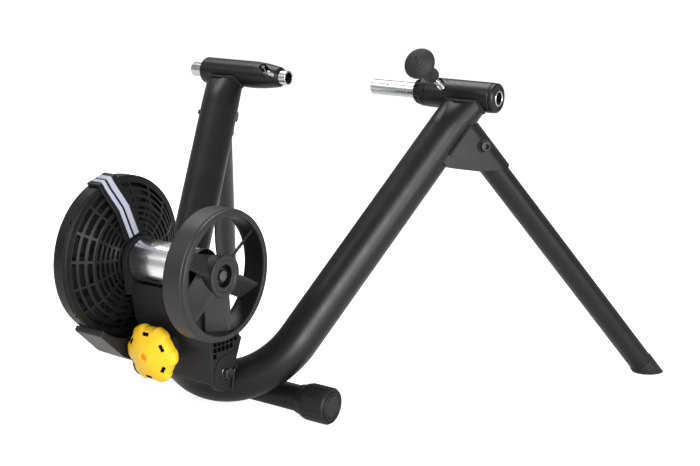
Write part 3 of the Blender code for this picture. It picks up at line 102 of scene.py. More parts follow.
# Clamps. Angles are degrees from straight back, upwards, and a swing is a window's turn over the travel.
# A window's cutter reaches from inside the bore to outside the wall.
HOUSING_R = 18.9
FAR_HOUSING_R = 18.5
SHAFT_R = 9.9
LEVER_X = 162.0
LEVER_ANGLE = 28.5
LEVER_SWING = 52.0
CLAMP_TRAVEL = 18.0
STEM_R = 3.6
PIN_X = -125.0
PIN_ANGLE = 56.0
PIN_SWING = 46.0
WINDOW_REACH = (9.2, 21.0)

# Near leg: a place on its axis, its direction and its hinge's. Lengths along it start at that place.
LEG_ROOT = (188.18, -24.57, 350.1)
LEG_DIR = (0.38799, 0.53777, -0.74851)
HINGE_DIR = (0.86100, -0.50125, 0.08617)
LEG_R = 15.95
LEG_HINGE_AT = 43.2
LEG_FOOT_AT = 447.0
BRACKET_IN = LEG_R + 0.65
BRACKET_OUT = BRACKET_IN + 2.5

# Tilting unit. A pair is (Y, Z), or the two X of a piece's sides. BODY_ARM_R is the radius of the body's near
# and far arm round the shaft, and lengths along the adjuster start at its anchor.
ROLLER_Y = -330.4
ROLLER_Z = 189.2
ROLLER_R = 25.5
PIVOT_Y = -291.3
PIVOT_Z = 61.1
PIVOT = (PIVOT_Y, PIVOT_Z)
FLY_R = 76.2
FLY_X = (46.5, 76.0)
DRUM_R = 95.5
DRUM_X = (-101.5, -79.5)
BAND_ANGLE = 108.0
BAND_SIDES = (-13.0, 17.0)
BODY_X = (-58.0, 44.0)
EAR_R = 23.5
BODY_ARM_R = (26.4, 27.2)
ANCHOR = (-262.0, 97.5)
ROD_DIR = (0.0, -0.99346, -0.11419)
ROD_X = -16.0
KNOB_START = 77.1
KNOB_END = 106.3

# Camera: turn to the left, dip and roll in degrees, focal length, and place in metres from the clamp line.
CAMERA_ANGLES = (33.153, 11.965, 2.027)
CAMERA_LENS = 66.79
CAMERA_AT = (0.957436, -1.433371, 0.541707)

# Lamps in metres: name, setting that holds its power, place and size. All point at LAMP_TARGET.
LAMP_TARGET = (0.0, -0.05, 0.2)
LAMPS = (
    ("key_lamp", "key_power", (2.5, -1.8, 1.0), (1.5, 1.5)),
    ("fill_lamp", "fill_power", (-1.5, -2.6, 2.4), (1.6, 1.6)),
    ("side_lamp", "side_power", (2.9, -0.3, 0.6), (1.1, 1.1)),
    ("top_lamp", "top_power", (-0.9, 0.5, 2.5), (1.8, 1.2)),
)

ROLLER_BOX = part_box("roller")
SHIFT_Y = (ROLLER_BOX[0][1] + ROLLER_BOX[1][1]) / (2.0 * MM) - ROLLER_Y


def at(x, y, z):
    """Turn a place whose Y is given from the clamp line into the frame's millimetres."""
    return Vector((x, y + SHIFT_Y, z))


ROLLER_AT = at(0, ROLLER_Y, ROLLER_Z)
PIVOT_AT = at(0, PIVOT_Y, PIVOT_Z)
CLAMP_AT = at(0, 0, AXLE_Z)
ANCHOR_AT = at(ROD_X, ANCHOR[0], ANCHOR[1])


# Shapes

def shape(name, verts, faces, edges=()):
    """Make an object from plain lists, with its normals facing out."""
    mesh = bpy.data.meshes.new(name)
    mesh.from_pydata([tuple(v) for v in verts], [tuple(e) for e in edges], faces)
    made = bpy.data.objects.new(name, mesh)
    bpy.context.scene.collection.objects.link(made)
    if faces:
        face_out(made)
    return made


def face_out(piece):
    """Merge double points and turn every face outwards."""
    work = bmesh.new()
    work.from_mesh(piece.data)
    bmesh.ops.remove_doubles(work, verts=work.verts, dist=0.0005)
    bmesh.ops.recalc_face_normals(work, faces=work.faces)
    work.to_mesh(piece.data)
    work.free()


def bake(piece):
    """Turn the modifiers of a piece into its mesh."""
    bpy.context.view_layer.update()
    graph = bpy.context.evaluated_depsgraph_get()
    mesh = bpy.data.meshes.new_from_object(piece.evaluated_get(graph), depsgraph=graph)
    piece.modifiers.clear()
    old = piece.data
    piece.data = mesh
    bpy.data.meshes.remove(old)
    return piece


def drop(*helpers):
    """Remove helper objects."""
    for helper in helpers:
        bpy.data.objects.remove(helper, do_unlink=True)


def combine(piece, tool, operation):
    """Cut, join or keep common with a helper, then drop it."""
    step = piece.modifiers.new("combine", "BOOLEAN")
    step.operation = operation
    step.solver = "EXACT"
    step.object = tool
    bake(piece)
    drop(tool)
    return piece


def cut(piece, tool):
    """Take a helper's volume away."""
    return combine(piece, tool, "DIFFERENCE")


def join(piece, tool):
    """Add a helper's volume."""
    return combine(piece, tool, "UNION")


def add_loose(piece, *others):
    """Put the meshes of other objects into the piece without joining their volumes."""
    work = bmesh.new()
    work.from_mesh(piece.data)
    for other in others:
        work.from_mesh(other.data)
    work.to_mesh(piece.data)
    work.free()
    drop(*others)
    return piece


def turns(sides):
    """Angles of even steps round a circle."""
    return [2.0 * math.pi * step / sides for step in range(sides)]


def wall_faces(low, high):
    """List the faces between two closed rings of points, given by their numbers."""
    count = len(low)
    return [(low[i], low[(i + 1) % count], high[(i + 1) % count], high[i]) for i in range(count)]


def bevel(piece, width, segments=3, angle=40.0):
    """Round the sharp edges of a piece."""
    step = piece.modifiers.new("edges", "BEVEL")
    step.width = width
    step.segments = segments
    step.limit_method = "ANGLE"
    step.angle_limit = math.radians(angle)
    return bake(piece)


def round_corners(points, radius, closed=False, steps=4):
    """Replace each corner of a flat line by a short curve."""
    count = len(points)
    result = []
    for i, corner in enumerate(points):
        here = Vector(corner)
        before = Vector(points[i - 1]) - here
        after = Vector(points[(i + 1) % count]) - here
        is_end = not closed and i in (0, count - 1)
        if is_end or min(before.length, after.length) < TINY or before.angle(after) > NEARLY_STRAIGHT:
            result.append(tuple(corner))
            continue
        reach = min(radius, 0.45 * before.length, 0.45 * after.length)
        first = here + before.normalized() * reach
        last = here + after.normalized() * reach
        for step in range(steps + 1):
            t = step / steps
            result.append(tuple(first * (1 - t) ** 2 + here * (2 * t * (1 - t)) + last * t ** 2))
    return result


def lathe(name, profile, origin, axis, sides=96, start=None, closed=False, fillet=0.0, shape_by=None):
    """Turn a line of (along, radius) pairs round an axis; shape_by(along, turn) gives an extra radius."""
    axis = Vector(axis).normalized()
    side = Vector(start) if start is not None else axis.orthogonal()
    side = (side - axis * side.dot(axis)).normalized()
    other = axis.cross(side)
    if fillet:
        profile = round_corners(profile, fillet, closed)
    verts = []
    rings = []
    for along, radius in profile:
        centre = origin + axis * along
        first = len(verts)
        if radius < TINY:
            verts.append(centre)
        else:
            for turn in turns(sides):
                reach = radius + (shape_by(along, turn) if shape_by else 0.0)
                verts.append(centre + side * (reach * math.cos(turn)) + other * (reach * math.sin(turn)))
        rings.append(range(first, len(verts)))
    pairs = list(zip(rings[:-1], rings[1:]))
    if closed:
        pairs.append((rings[-1], rings[0]))
    faces = []
    for low, high in pairs:
        if len(low) == len(high) > 1:
            faces += wall_faces(low, high)
        elif len(high) > 1:
            faces += [(low[0], high[(i + 1) % sides], high[i]) for i in range(sides)]
        elif len(low) > 1:
            faces += [(low[i], low[(i + 1) % sides], high[0]) for i in range(sides)]
    return shape(name, verts, faces)


def cylinder(name, radius, low, high, origin, axis=ALONG_X, sides=96, start=None):
    """Make a plain round bar between two places along an axis."""
    return lathe(name, ((low, 0), (low, radius), (high, radius), (high, 0)), origin, axis, sides, start)


def prism(name, outline, origin, first, second, depth, low, high):
    """Extrude a flat outline of (first, second) pairs along the depth direction."""
    first, second, depth = Vector(first), Vector(second), Vector(depth)
    verts = [origin + first * a + second * b + depth * level for level in (low, high) for a, b in outline]
    count = len(outline)
    ends = range(count), range(count, 2 * count)
    return shape(name, verts, [tuple(ends[0]), tuple(ends[1])] + wall_faces(*ends))


def side_prism(name, outline, low, high):
    """Extrude an outline of (Y, Z) pairs along X."""
    return prism(name, outline, at(0, 0, 0), (0, 1, 0), (0, 0, 1), ALONG_X, low, high)


def box(name, low, high):
    """Make a box from two corners given from the clamp line."""
    outline = [(low[1], low[2]), (high[1], low[2]), (high[1], high[2]), (low[1], high[2])]
    return side_prism(name, outline, low[0], high[0])


def arc(centre, radius, first, last, steps):
    """List points of an arc in a flat view, angles in degrees."""
    result = []
    for step in range(steps + 1):
        turn = math.radians(first + (last - first) * step / steps)
        result.append((centre[0] + radius * math.cos(turn), centre[1] + radius * math.sin(turn)))
    return result


def hull(points):
    """Return the convex outline round a set of flat points."""
    ordered = sorted(set((round(a, 4), round(b, 4)) for a, b in points))
    chains = []
    for sequence in (ordered, ordered[::-1]):
        chain = []
        for p in sequence:
            while len(chain) > 1:
                a, b = chain[-2], chain[-1]
                if (b[0] - a[0]) * (p[1] - a[1]) - (b[1] - a[1]) * (p[0] - a[0]) > 1e-9:
                    break
                chain.pop()
            chain.append(p)
        chains.append(chain[:-1])
    return chains[0] + chains[1]


def rod_along(name, line, radius, sides):
    """Sweep a round section along a line of places, turning as little as it can."""
    last = len(line) - 1
    verts = []
    across = None
    for i, place in enumerate(line):
        heading = (line[min(i + 1, last)] - line[max(i - 1, 0)]).normalized()
        if across is None:
            across = heading.orthogonal().normalized()
        across = (across - heading * across.dot(heading)).normalized()
        other = heading.cross(across)
        for turn in turns(sides):
            verts.append(place + across * (radius * math.cos(turn)) + other * (radius * math.sin(turn)))
    rings = [range(i * sides, (i + 1) * sides) for i in range(last + 1)]
    faces = []
    for low, high in zip(rings[:-1], rings[1:]):
        faces += wall_faces(low, high)
    return shape(name, verts, faces + [tuple(rings[0]), tuple(rings[-1])])


def finish(piece, body, slot, nodes=(), material=None, angle=32.0):
    """Scale a piece to metres, smooth it, paint it, hang it on its body and hide the parts it stands for."""
    if piece.modifiers:
        bake(piece)
    piece.data.transform(Matrix.Scale(MM, 4))
    piece.data.shade_smooth()
    piece.data.set_sharp_from_angle(angle=math.radians(angle))
    piece.data.materials.clear()
    piece.data.materials.append(MATERIALS[material or slot])
    piece.data.polygons.foreach_set("material_index", [0] * len(piece.data.polygons))
    flat = piece.modifiers.new("even_shading", "WEIGHTED_NORMAL")
    flat.keep_sharp = True
    bake(piece)
    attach(piece, body)
    if nodes:
        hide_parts(*nodes)


# Geometry trees

def tree_with(name, sockets):
    """Start a geometry tree with inputs given as (name, kind, default), and one more for its finish."""
    tree = bpy.data.node_groups.new(name, "GeometryNodeTree")
    tree.interface.new_socket("Geometry", in_out="OUTPUT", socket_type="NodeSocketGeometry")
    tree.interface.new_socket("Geometry", in_out="INPUT", socket_type="NodeSocketGeometry")
    for label, kind, default in sockets + (("Material", "Material", None),):
        made = tree.interface.new_socket(label, in_out="INPUT", socket_type="NodeSocket" + kind)
        if default is not None:
            made.default_value = default
    return tree, tree.nodes.new("NodeGroupInput").outputs


def add_node(tree, kind, values=None, **settings):
    """Add a node, with settings as attributes and values for its inputs."""
    made = tree.nodes.new(kind)
    for key, value in settings.items():
        setattr(made, key, value)
    for key, value in (values or {}).items():
        made.inputs[key].default_value = value
    return made


def wire(tree, *pairs):
    """Link outputs to inputs."""
    for out, into in pairs:
        tree.links.new(out, into)


def end_tree(tree, geometry, given):
    """End a tree in real geometry that wears its finish."""
    real = add_node(tree, "GeometryNodeRealizeInstances")
    paint = add_node(tree, "GeometryNodeSetMaterial")
    end = tree.nodes.new("NodeGroupOutput")
    wire(tree, (geometry, real.inputs[0]), (real.outputs[0], paint.inputs["Geometry"]),
         (given["Material"], paint.inputs["Material"]), (paint.outputs[0], end.inputs[0]))
    return tree


def carve_all(tree, given, tools):
    """Cut placed copies out of the geometry that comes in."""
    loose = add_node(tree, "GeometryNodeRealizeInstances")
    carver = add_node(tree, "GeometryNodeMeshBoolean", operation="DIFFERENCE", solver="EXACT")
    wire(tree, (tools, loose.inputs[0]), (given["Geometry"], carver.inputs["Mesh 1"]),
         (loose.outputs[0], carver.inputs["Mesh 2"]))
    return carver.outputs[0]


def run_tree(piece, tree, values):
    """Run a geometry tree on a piece with its inputs set by identifier, and keep the plain mesh."""
    step = piece.modifiers.new(tree.name, "NODES")
    step.node_group = tree
    for item in tree.interface.items_tree:
        if item.in_out == "INPUT" and item.name in values:
            step[item.identifier] = values[item.name]
    bake(piece)


def weld_tree():
    """Bead along a line, made of overlapping ripples."""
    tree, given = tree_with("weld_bead", (("Width", "Float", 3.6), ("Pitch", "Float", 1.7)))
    line = add_node(tree, "GeometryNodeMeshToCurve")
    even = add_node(tree, "GeometryNodeResampleCurve", mode="LENGTH")
    half = add_node(tree, "ShaderNodeMath", {1: CORE_SHARE}, operation="MULTIPLY")
    ring = add_node(tree, "GeometryNodeCurvePrimitiveCircle", {"Resolution": 12})
    core = add_node(tree, "GeometryNodeCurveToMesh")
    ball = add_node(tree, "GeometryNodeMeshUVSphere", {"Segments": 14, "Rings": 8})
    radius = add_node(tree, "ShaderNodeMath", {1: RIPPLE_SHARE}, operation="MULTIPLY")
    heading = add_node(tree, "GeometryNodeInputTangent")
    turn = add_node(tree, "FunctionNodeAlignRotationToVector", axis="Z")
    place = add_node(tree, "GeometryNodeInstanceOnPoints", {"Scale": (1.0, 1.0, RIPPLE_LENGTH)})
    both = add_node(tree, "GeometryNodeJoinGeometry")
    wire(tree,
         (given["Geometry"], line.inputs[0]), (line.outputs[0], even.inputs["Curve"]),
         (given["Pitch"], even.inputs["Length"]), (given["Width"], half.inputs[0]),
         (half.outputs[0], ring.inputs["Radius"]), (even.outputs[0], core.inputs["Curve"]),
         (ring.outputs[0], core.inputs["Profile Curve"]), (given["Width"], radius.inputs[0]),
         (radius.outputs[0], ball.inputs["Radius"]), (even.outputs[0], place.inputs["Points"]),
         (ball.outputs["Mesh"], place.inputs["Instance"]), (heading.outputs[0], turn.inputs["Vector"]),
         (turn.outputs[0], place.inputs["Rotation"]), (place.outputs[0], both.inputs[0]),
         (core.outputs[0], both.inputs[0]))
    return end_tree(tree, both.outputs[0], given)


def ring_tree(carve):
    """Repeat a piece round an axis; with carve, the ring is cut out of the incoming geometry."""
    tree, given = tree_with("ring_of_cuts" if carve else "ring_of_pieces", (
        ("Piece", "Object", None), ("Count", "Int", 6), ("Centre", "Vector", (0, 0, 0)),
        ("Axis", "Vector", ALONG_X)))
    points = add_node(tree, "GeometryNodeMeshLine", {"Offset": (0, 0, 0)}, mode="OFFSET")
    index = add_node(tree, "GeometryNodeInputIndex")
    share = add_node(tree, "ShaderNodeMath", operation="DIVIDE")
    turn = add_node(tree, "ShaderNodeMath", {1: 2.0 * math.pi}, operation="MULTIPLY")
    spin = add_node(tree, "FunctionNodeAxisAngleToRotation")
    source = add_node(tree, "GeometryNodeObjectInfo", transform_space="ORIGINAL")
    place = add_node(tree, "GeometryNodeInstanceOnPoints")
    wire(tree,
         (given["Count"], points.inputs["Count"]), (given["Centre"], points.inputs["Start Location"]),
         (index.outputs[0], share.inputs[0]), (given["Count"], share.inputs[1]),
         (share.outputs[0], turn.inputs[0]), (turn.outputs[0], spin.inputs["Angle"]),
         (given["Axis"], spin.inputs["Axis"]), (given["Piece"], source.inputs["Object"]),
         (points.outputs[0], place.inputs["Points"]), (source.outputs["Geometry"], place.inputs["Instance"]),
         (spin.outputs[0], place.inputs["Rotation"]))
    ring = place.outputs[0]
    return end_tree(tree, carve_all(tree, given, ring) if carve else ring, given)


def thread_tree():
    """Screw thread: a spiral line with a small ridge along it."""
    tree, given = tree_with("screw_thread", (
        ("Radius", "Float", 3.6), ("Length", "Float", 10.0), ("Turns", "Float", 8.0),
        ("Ridge", "Float", 0.4), ("Centre", "Vector", (0, 0, 0)), ("Rotation", "Rotation", None)))
    spiral = add_node(tree, "GeometryNodeCurveSpiral", {"Resolution": 32})
    ring = add_node(tree, "GeometryNodeCurvePrimitiveCircle", {"Resolution": 5})
    ridge = add_node(tree, "GeometryNodeCurveToMesh", {"Fill Caps": True})
    move = add_node(tree, "GeometryNodeTransform")
    wire(tree,
         (given["Turns"], spiral.inputs["Rotations"]), (given["Radius"], spiral.inputs["Start Radius"]),
         (given["Radius"], spiral.inputs["End Radius"]), (given["Length"], spiral.inputs["Height"]),
         (given["Ridge"], ring.inputs["Radius"]), (spiral.outputs[0], ridge.inputs["Curve"]),
         (ring.outputs[0], ridge.inputs["Profile Curve"]), (ridge.outputs[0], move.inputs["Geometry"]),
         (given["Centre"], move.inputs["Translation"]), (given["Rotation"], move.inputs["Rotation"]))
    return end_tree(tree, move.outputs[0], given)


def weld(name, line, width, pitch, closed=False):
    """Lay a weld bead along a line of places."""
    count = len(line)
    edges = [(i, (i + 1) % count) for i in range(count if closed else count - 1)]
    bead = shape(name, line, [], edges)
    run_tree(bead, weld_tree(), {"Width": width, "Pitch": pitch, "Material": MATERIALS["black_paint"]})
    finish(bead, "frame", "black_paint", angle=60.0)


# Finishes

MATERIALS = {}

# Numbers of the colour sockets of a mix node.
MIX_A, MIX_B, MIX_RESULT = 6, 7, 2


def make_finish(name, colour, roughness, metallic=0.0, grain=(900.0, 0.00005), mottle=(35.0, 0.06),
                tint=1.25, streak=(1.0, 1.0, 1.0), specular=0.3, recess=None, turned=0.0):
    """Make a finish in object space: a fine grain, slow changes of colour and gloss, and, where they
    are given, turning marks and painted shade, a darker colour on the faces marked as lying in shade."""
    material = bpy.data.materials.new(name)
    material.use_nodes = True
    tree = material.node_tree
    shader = tree.nodes["Principled BSDF"]
    shader.inputs["Metallic"].default_value = metallic
    shader.inputs["Specular IOR Level"].default_value = specular
    if turned:
        shader.inputs["Anisotropic"].default_value = turned
        marks = add_node(tree, "ShaderNodeTangent", direction_type="RADIAL", axis="X")
        wire(tree, (marks.outputs["Tangent"], shader.inputs["Tangent"]))
    place = add_node(tree, "ShaderNodeTexCoord")
    stretch = add_node(tree, "ShaderNodeMapping", {"Scale": streak})
    fine = add_node(tree, "ShaderNodeTexNoise", {"Scale": grain[0], "Detail": 3.0, "Roughness": 0.6})
    slow = add_node(tree, "ShaderNodeTexNoise", {"Scale": mottle[0], "Detail": 4.0, "Roughness": 0.65})
    bump = add_node(tree, "ShaderNodeBump", {"Strength": 0.7, "Distance": grain[1]})
    gloss = add_node(tree, "ShaderNodeMapRange", {
        "From Min": 0.3, "From Max": 0.7, "To Min": roughness - mottle[1], "To Max": roughness + mottle[1]})
    mix = add_node(tree, "ShaderNodeMix", {
        MIX_A: tuple(colour) + (1.0,), MIX_B: tuple(min(1.0, c * tint) for c in colour) + (1.0,)},
        data_type="RGBA")
    wire(tree,
         (place.outputs["Object"], stretch.inputs["Vector"]), (stretch.outputs[0], fine.inputs["Vector"]),
         (place.outputs["Object"], slow.inputs["Vector"]), (fine.outputs[0], bump.inputs["Height"]),
         (bump.outputs[0], shader.inputs["Normal"]), (slow.outputs[0], gloss.inputs["Value"]),
         (gloss.outputs[0], shader.inputs["Roughness"]), (slow.outputs[0], mix.inputs[0]),
         (mix.outputs[MIX_RESULT], shader.inputs["Base Color"]))
    # Painted shade: the marked faces in hollows take this darker colour in place of real shading.
    if recess:
        hidden = add_node(tree, "ShaderNodeAttribute", attribute_name="recess")
        shade = add_node(tree, "ShaderNodeMix", {MIX_B: recess + (1.0,)}, data_type="RGBA")
        wire(tree, (hidden.outputs["Fac"], shade.inputs[0]), (mix.outputs[MIX_RESULT], shade.inputs[MIX_A]),
             (shade.outputs[MIX_RESULT], shader.inputs["Base Color"]))
    material.diffuse_color = tuple(colour) + (1.0,)
    MATERIALS[name] = material


def make_finishes(colours):
    """Make every finish once."""
    make_finish("black_paint", colours.frame_paint, 0.36, grain=(1100.0, 0.00006))
    # The dark colours given for hollow faces below are painted shade: cast pockets, flywheel inside, knob
    # slots.
    make_finish("cast_black", colours.casting, 0.5, grain=(700.0, 0.00012), specular=0.25,
                recess=(0.001, 0.001, 0.001))
    make_finish("black_plastic", colours.plastic, 0.38, grain=(1400.0, 0.00005), specular=0.24)
    make_finish("grey_plastic", colours.chin, 0.4, grain=(1400.0, 0.00003), specular=0.25)
    make_finish("black_rubber", colours.rubber, 0.46, grain=(900.0, 0.00007), specular=0.28)
    make_finish("grip_rubber", colours.grip, 0.62, grain=(1000.0, 0.0001), specular=0.28)
    make_finish("fly_grey", colours.flywheel, 0.45, grain=(900.0, 0.00006), specular=0.35,
                recess=(0.004, 0.004, 0.0042))
    make_finish("plated_steel", colours.plate, 0.22, 1.0, grain=(30.0, 0.00001), mottle=(60.0, 0.05),
                tint=0.9, streak=(60.0, 1.0, 1.0), specular=0.5, turned=0.6)
    make_finish("polished_steel", colours.roller, 0.2, 1.0, grain=(30.0, 0.000008), mottle=(40.0, 0.04),
                tint=0.92, streak=(70.0, 1.0, 1.0), specular=0.5, turned=0.85)
    make_finish("dark_bolt", (0.11, 0.11, 0.11), 0.24, 0.9)
    make_finish("black_bolt", (0.03, 0.03, 0.032), 0.34, 0.6)
    make_finish("rotor_dark", (0.03, 0.03, 0.032), 0.5, 0.6)
    make_finish("band_pale", colours.stripe, 0.45, grain=(2500.0, 0.00003), tint=1.08)
    make_finish("yellow_plastic", colours.knob, 0.42, grain=(1300.0, 0.00004), tint=1.04,
                recess=(0.012, 0.006, 0.002))
    make_finish("knob_dimple", (0.78, 0.2, 0.006), 0.5)
    make_finish("board_green", (0.03, 0.18, 0.08), 0.5)


# Frame tube

def arm_plane(x, reach):
    """Place a point in the slanting plane that holds the tube's centre line."""
    length = math.hypot(ARM_BACK, 1.0)
    return at(x, -reach * ARM_BACK / length, AXLE_Z - reach / length)


def bend_half_angle():
    """Angle between an arm and the middle plane, seen square to the tube's own plane."""
    return math.atan(ARM_IN / math.hypot(ARM_BACK, 1.0))


def smooth_share(value):
    """Ease from 0 to 1."""
    value = max(0.0, min(1.0, value))
    return value * value * (3.0 - 2.0 * value)


def tube_path(bend_steps):
    """List (place, direction across the tube, width factor, depth factor) along the main tube."""
    half = bend_half_angle()
    centre_reach = BEND_REACH - BEND_R
    slope = math.tan(half)
    top_x = BEND_R / math.cos(half) + slope * centre_reach
    down = arm_plane(0, 1) - arm_plane(0, 0)
    across = Vector((math.cos(half), 0, 0)) + down * math.sin(half)
    back = Vector((-math.cos(half), 0, 0)) + down * math.sin(half)
    arm = []
    for step in range(PINCH_STEPS + 1):
        reach = PINCH_LENGTH * step / PINCH_STEPS
        ease = smooth_share(reach / PINCH_LENGTH)
        arm.append((reach, 1.06 - 0.06 * ease, ARM_PINCH + (1.0 - ARM_PINCH) * ease))
    path = [(arm_plane(top_x - slope * reach, reach), across, wide, deep)
            for reach, wide, deep in arm]
    for step in range(bend_steps + 1):
        turn = half + (math.pi - 2.0 * half) * step / bend_steps
        place = arm_plane(BEND_R * math.cos(turn), centre_reach + BEND_R * math.sin(turn))
        path.append((place, Vector((math.cos(turn), 0, 0)) + down * math.sin(turn), 1.0, 1.0))
    path += [(arm_plane(slope * reach - top_x, reach), back, wide, deep)
             for reach, wide, deep in reversed(arm)]
    return path


def sweep_tube(name, radius, sides, bend_steps):
    """Sweep the round section along the main tube's path, with a shallow dent in front of each arm's top."""
    path = tube_path(bend_steps)
    verts = []
    for place, outward, wide, deep in path:
        dent = DENT_DEPTH * (1.0 - deep) / (1.0 - ARM_PINCH)
        for turn in turns(sides):
            fall = 1.0 - dent * math.exp(-((turn - math.pi / 2.0) / DENT_WIDTH) ** 2)
            front = radius * deep * math.sin(turn) * fall
            verts.append(place + outward * (radius * wide * math.cos(turn)) + TUBE_NORMAL * front)
    rings = [range(i * sides, (i + 1) * sides) for i in range(len(path))]
    faces = [tuple(rings[0]), tuple(rings[-1])]
    for low, high in zip(rings[:-1], rings[1:]):
        faces += wall_faces(low, high)
    return shape(name, verts, faces)


def clamp_weld_line(side):
    """Line where an arm meets its clamp housing, just outside both surfaces."""
    path = tube_path(4) if side > 0 else tube_path(4)[::-1]
    low_place, outward, wide, _ = path[PINCH_STEPS // 2]
    top_place, deep = path[0][0], path[1][3]
    up = (top_place - low_place).normalized()
    reach = (HOUSING_R if side > 0 else FAR_HOUSING_R) + 0.5
    line = []
    for turn in turns(72):
        base = (low_place + outward * ((TUBE_R * wide + 0.5) * math.cos(turn))
                + TUBE_NORMAL * ((TUBE_R * deep + 0.5) * math.sin(turn)))
        y, z = base.y - CLAMP_AT.y, base.z - CLAMP_AT.z
        a = up.y * up.y + up.z * up.z
        b = 2.0 * (y * up.y + z * up.z)
        c = y * y + z * z - reach * reach
        inside = max(b * b - 4.0 * a * c, 0.0)
        hit = (-b - math.sqrt(inside)) / (2.0 * a)
        line.append(base + up * min(hit, (AXLE_Z - ARM_END - base.z) / up.z))
    return line


def build_frame_tube(sizes):
    """Bent tube coped to the housings, with its weld beads."""
    tube = sweep_tube("bent_frame_tube", TUBE_R, sizes.tube_sides, 64)
    cut(tube, cylinder("cope", HOUSING_R - 0.2, -260, 260, CLAMP_AT))
    cut(tube, box("arm_tops", (-280, -90, AXLE_Z - ARM_END), (280, 90, AXLE_Z + 70.0)))
    finish(tube, "frame", "black_paint", ["main_frame_tube"])
    for word, side in (("near", 1), ("far", -1)):
        weld("weld_arm_" + word, clamp_weld_line(side), sizes.weld_width / MM, sizes.weld_pitch / MM, True)


def bar_weld_line(lift):
    """Line along the crease between the bend and the crossbar, above or below the contact."""
    line = []
    centre_reach = BEND_REACH - BEND_R
    for step in range(33):
        x = -BAR_WELD_HALF + 2.0 * BAR_WELD_HALF * step / 32.0
        tube = arm_plane(x, centre_reach + math.sqrt(BEND_R ** 2 - x ** 2))
        bar = at(x, BAR_Y, BAR_Z)
        towards = (tube - bar).normalized()
        square = Vector((0.0, -towards.z, towards.y))
        line.append(bar + (towards * math.cos(lift) + square * math.sin(lift)) * (BAR_R + 0.9))
    return line


def build_crossbar(sizes):
    """Straight tube with two rubber ends and the welds that hold it."""
    centre = at(0, BAR_Y, BAR_Z)
    bar = cylinder("cross_tube", BAR_R, -BAR_HALF, BAR_HALF, centre, sides=sizes.tube_sides)
    finish(bar, "frame", "black_paint", ["crossbar"])
    for word, lift in (("upper", BAR_WELD_LIFT), ("lower", -BAR_WELD_LIFT)):
        weld("weld_bar_" + word, bar_weld_line(lift), sizes.weld_width / MM, sizes.weld_pitch / MM)
    flats = sizes.foot_flats

    def flat(along, turn):
        body = smooth_share((along - 116.0) / 8.0) * smooth_share((147.5 - along) / 3.0)
        return -0.7 * body * (0.5 + 0.5 * math.cos(flats * turn)) ** 2

    profile = (
        (150.0, 0.0), (150.0, 12.6), (149.7, 13.2), (148.6, 13.4), (148.6, 14.2), (150.0, 14.6),
        (150.0, 16.2), (149.2, 17.0), (147.6, 17.2), (147.6, 18.6), (149.0, 19.4), (149.0, 20.6),
        (146.4, 22.4), (140.0, 22.5), (127.0, 22.5), (119.5, 22.4), (114.0, 20.9), (109.5, 18.7),
        (105.5, 17.9), (103.5, 17.6), (103.5, 16.1), (144.0, 16.1), (144.0, 0.0),
    )
    for word, side in (("near", 1), ("far", -1)):
        foot = lathe("bar_end_cap_" + word, profile, centre, (side, 0, 0), sizes.tube_sides * 2,
                     start=(0, 0, -1), fillet=0.7, shape_by=flat)
        finish(foot, "frame", "black_rubber", ["crossbar_foot_" + word], angle=40.0)


# Clamps

def radial(angle):
    """Direction away from the clamp line, angle in degrees from straight back, upwards."""
    turn = math.radians(angle)
    return Vector((0.0, -math.cos(turn), math.sin(turn)))


def screw_slot(x, angle, run, swing, half):
    """Cutter of a slanting window with round ends, which winds round the clamp line from X and an angle."""
    ends = [(half * math.cos(math.radians(a)), half * math.sin(math.radians(a))) for a in range(0, 85, 12)]
    verts = []
    for reach in WINDOW_REACH:
        rise = reach * math.radians(swing)
        length = math.hypot(run, rise)
        ahead = (run / length, rise / length)
        stations = [(-a, b) for a, b in ends] + [(length * step / 24.0, half) for step in range(25)]
        stations += [(length + a, b) for a, b in reversed(ends)]
        for place, wide in stations:
            for edge in (wide, -wide):
                along = ahead[0] * place - ahead[1] * edge
                turn = math.degrees((ahead[1] * place + ahead[0] * edge) / reach)
                verts.append(CLAMP_AT + Vector((x + along, 0, 0)) + radial(angle + turn) * reach)
    half_way = len(verts) // 2
    faces = []
    for a in range(0, half_way - 2, 2):
        b = a + half_way
        faces += [(a, a + 1, a + 3, a + 2), (b, b + 1, b + 3, b + 2), (a, a + 2, b + 2, b),
                  (a + 1, a + 3, b + 3, b + 1)]
    return shape("window", verts, faces)


def clamp_lathe(name, profile, sides, fillet=0.0, shape_by=None):
    """Turn a closed section round the clamp line."""
    return lathe(name, profile, CLAMP_AT, ALONG_X, sides, (0, -1, 0), True, fillet, shape_by)


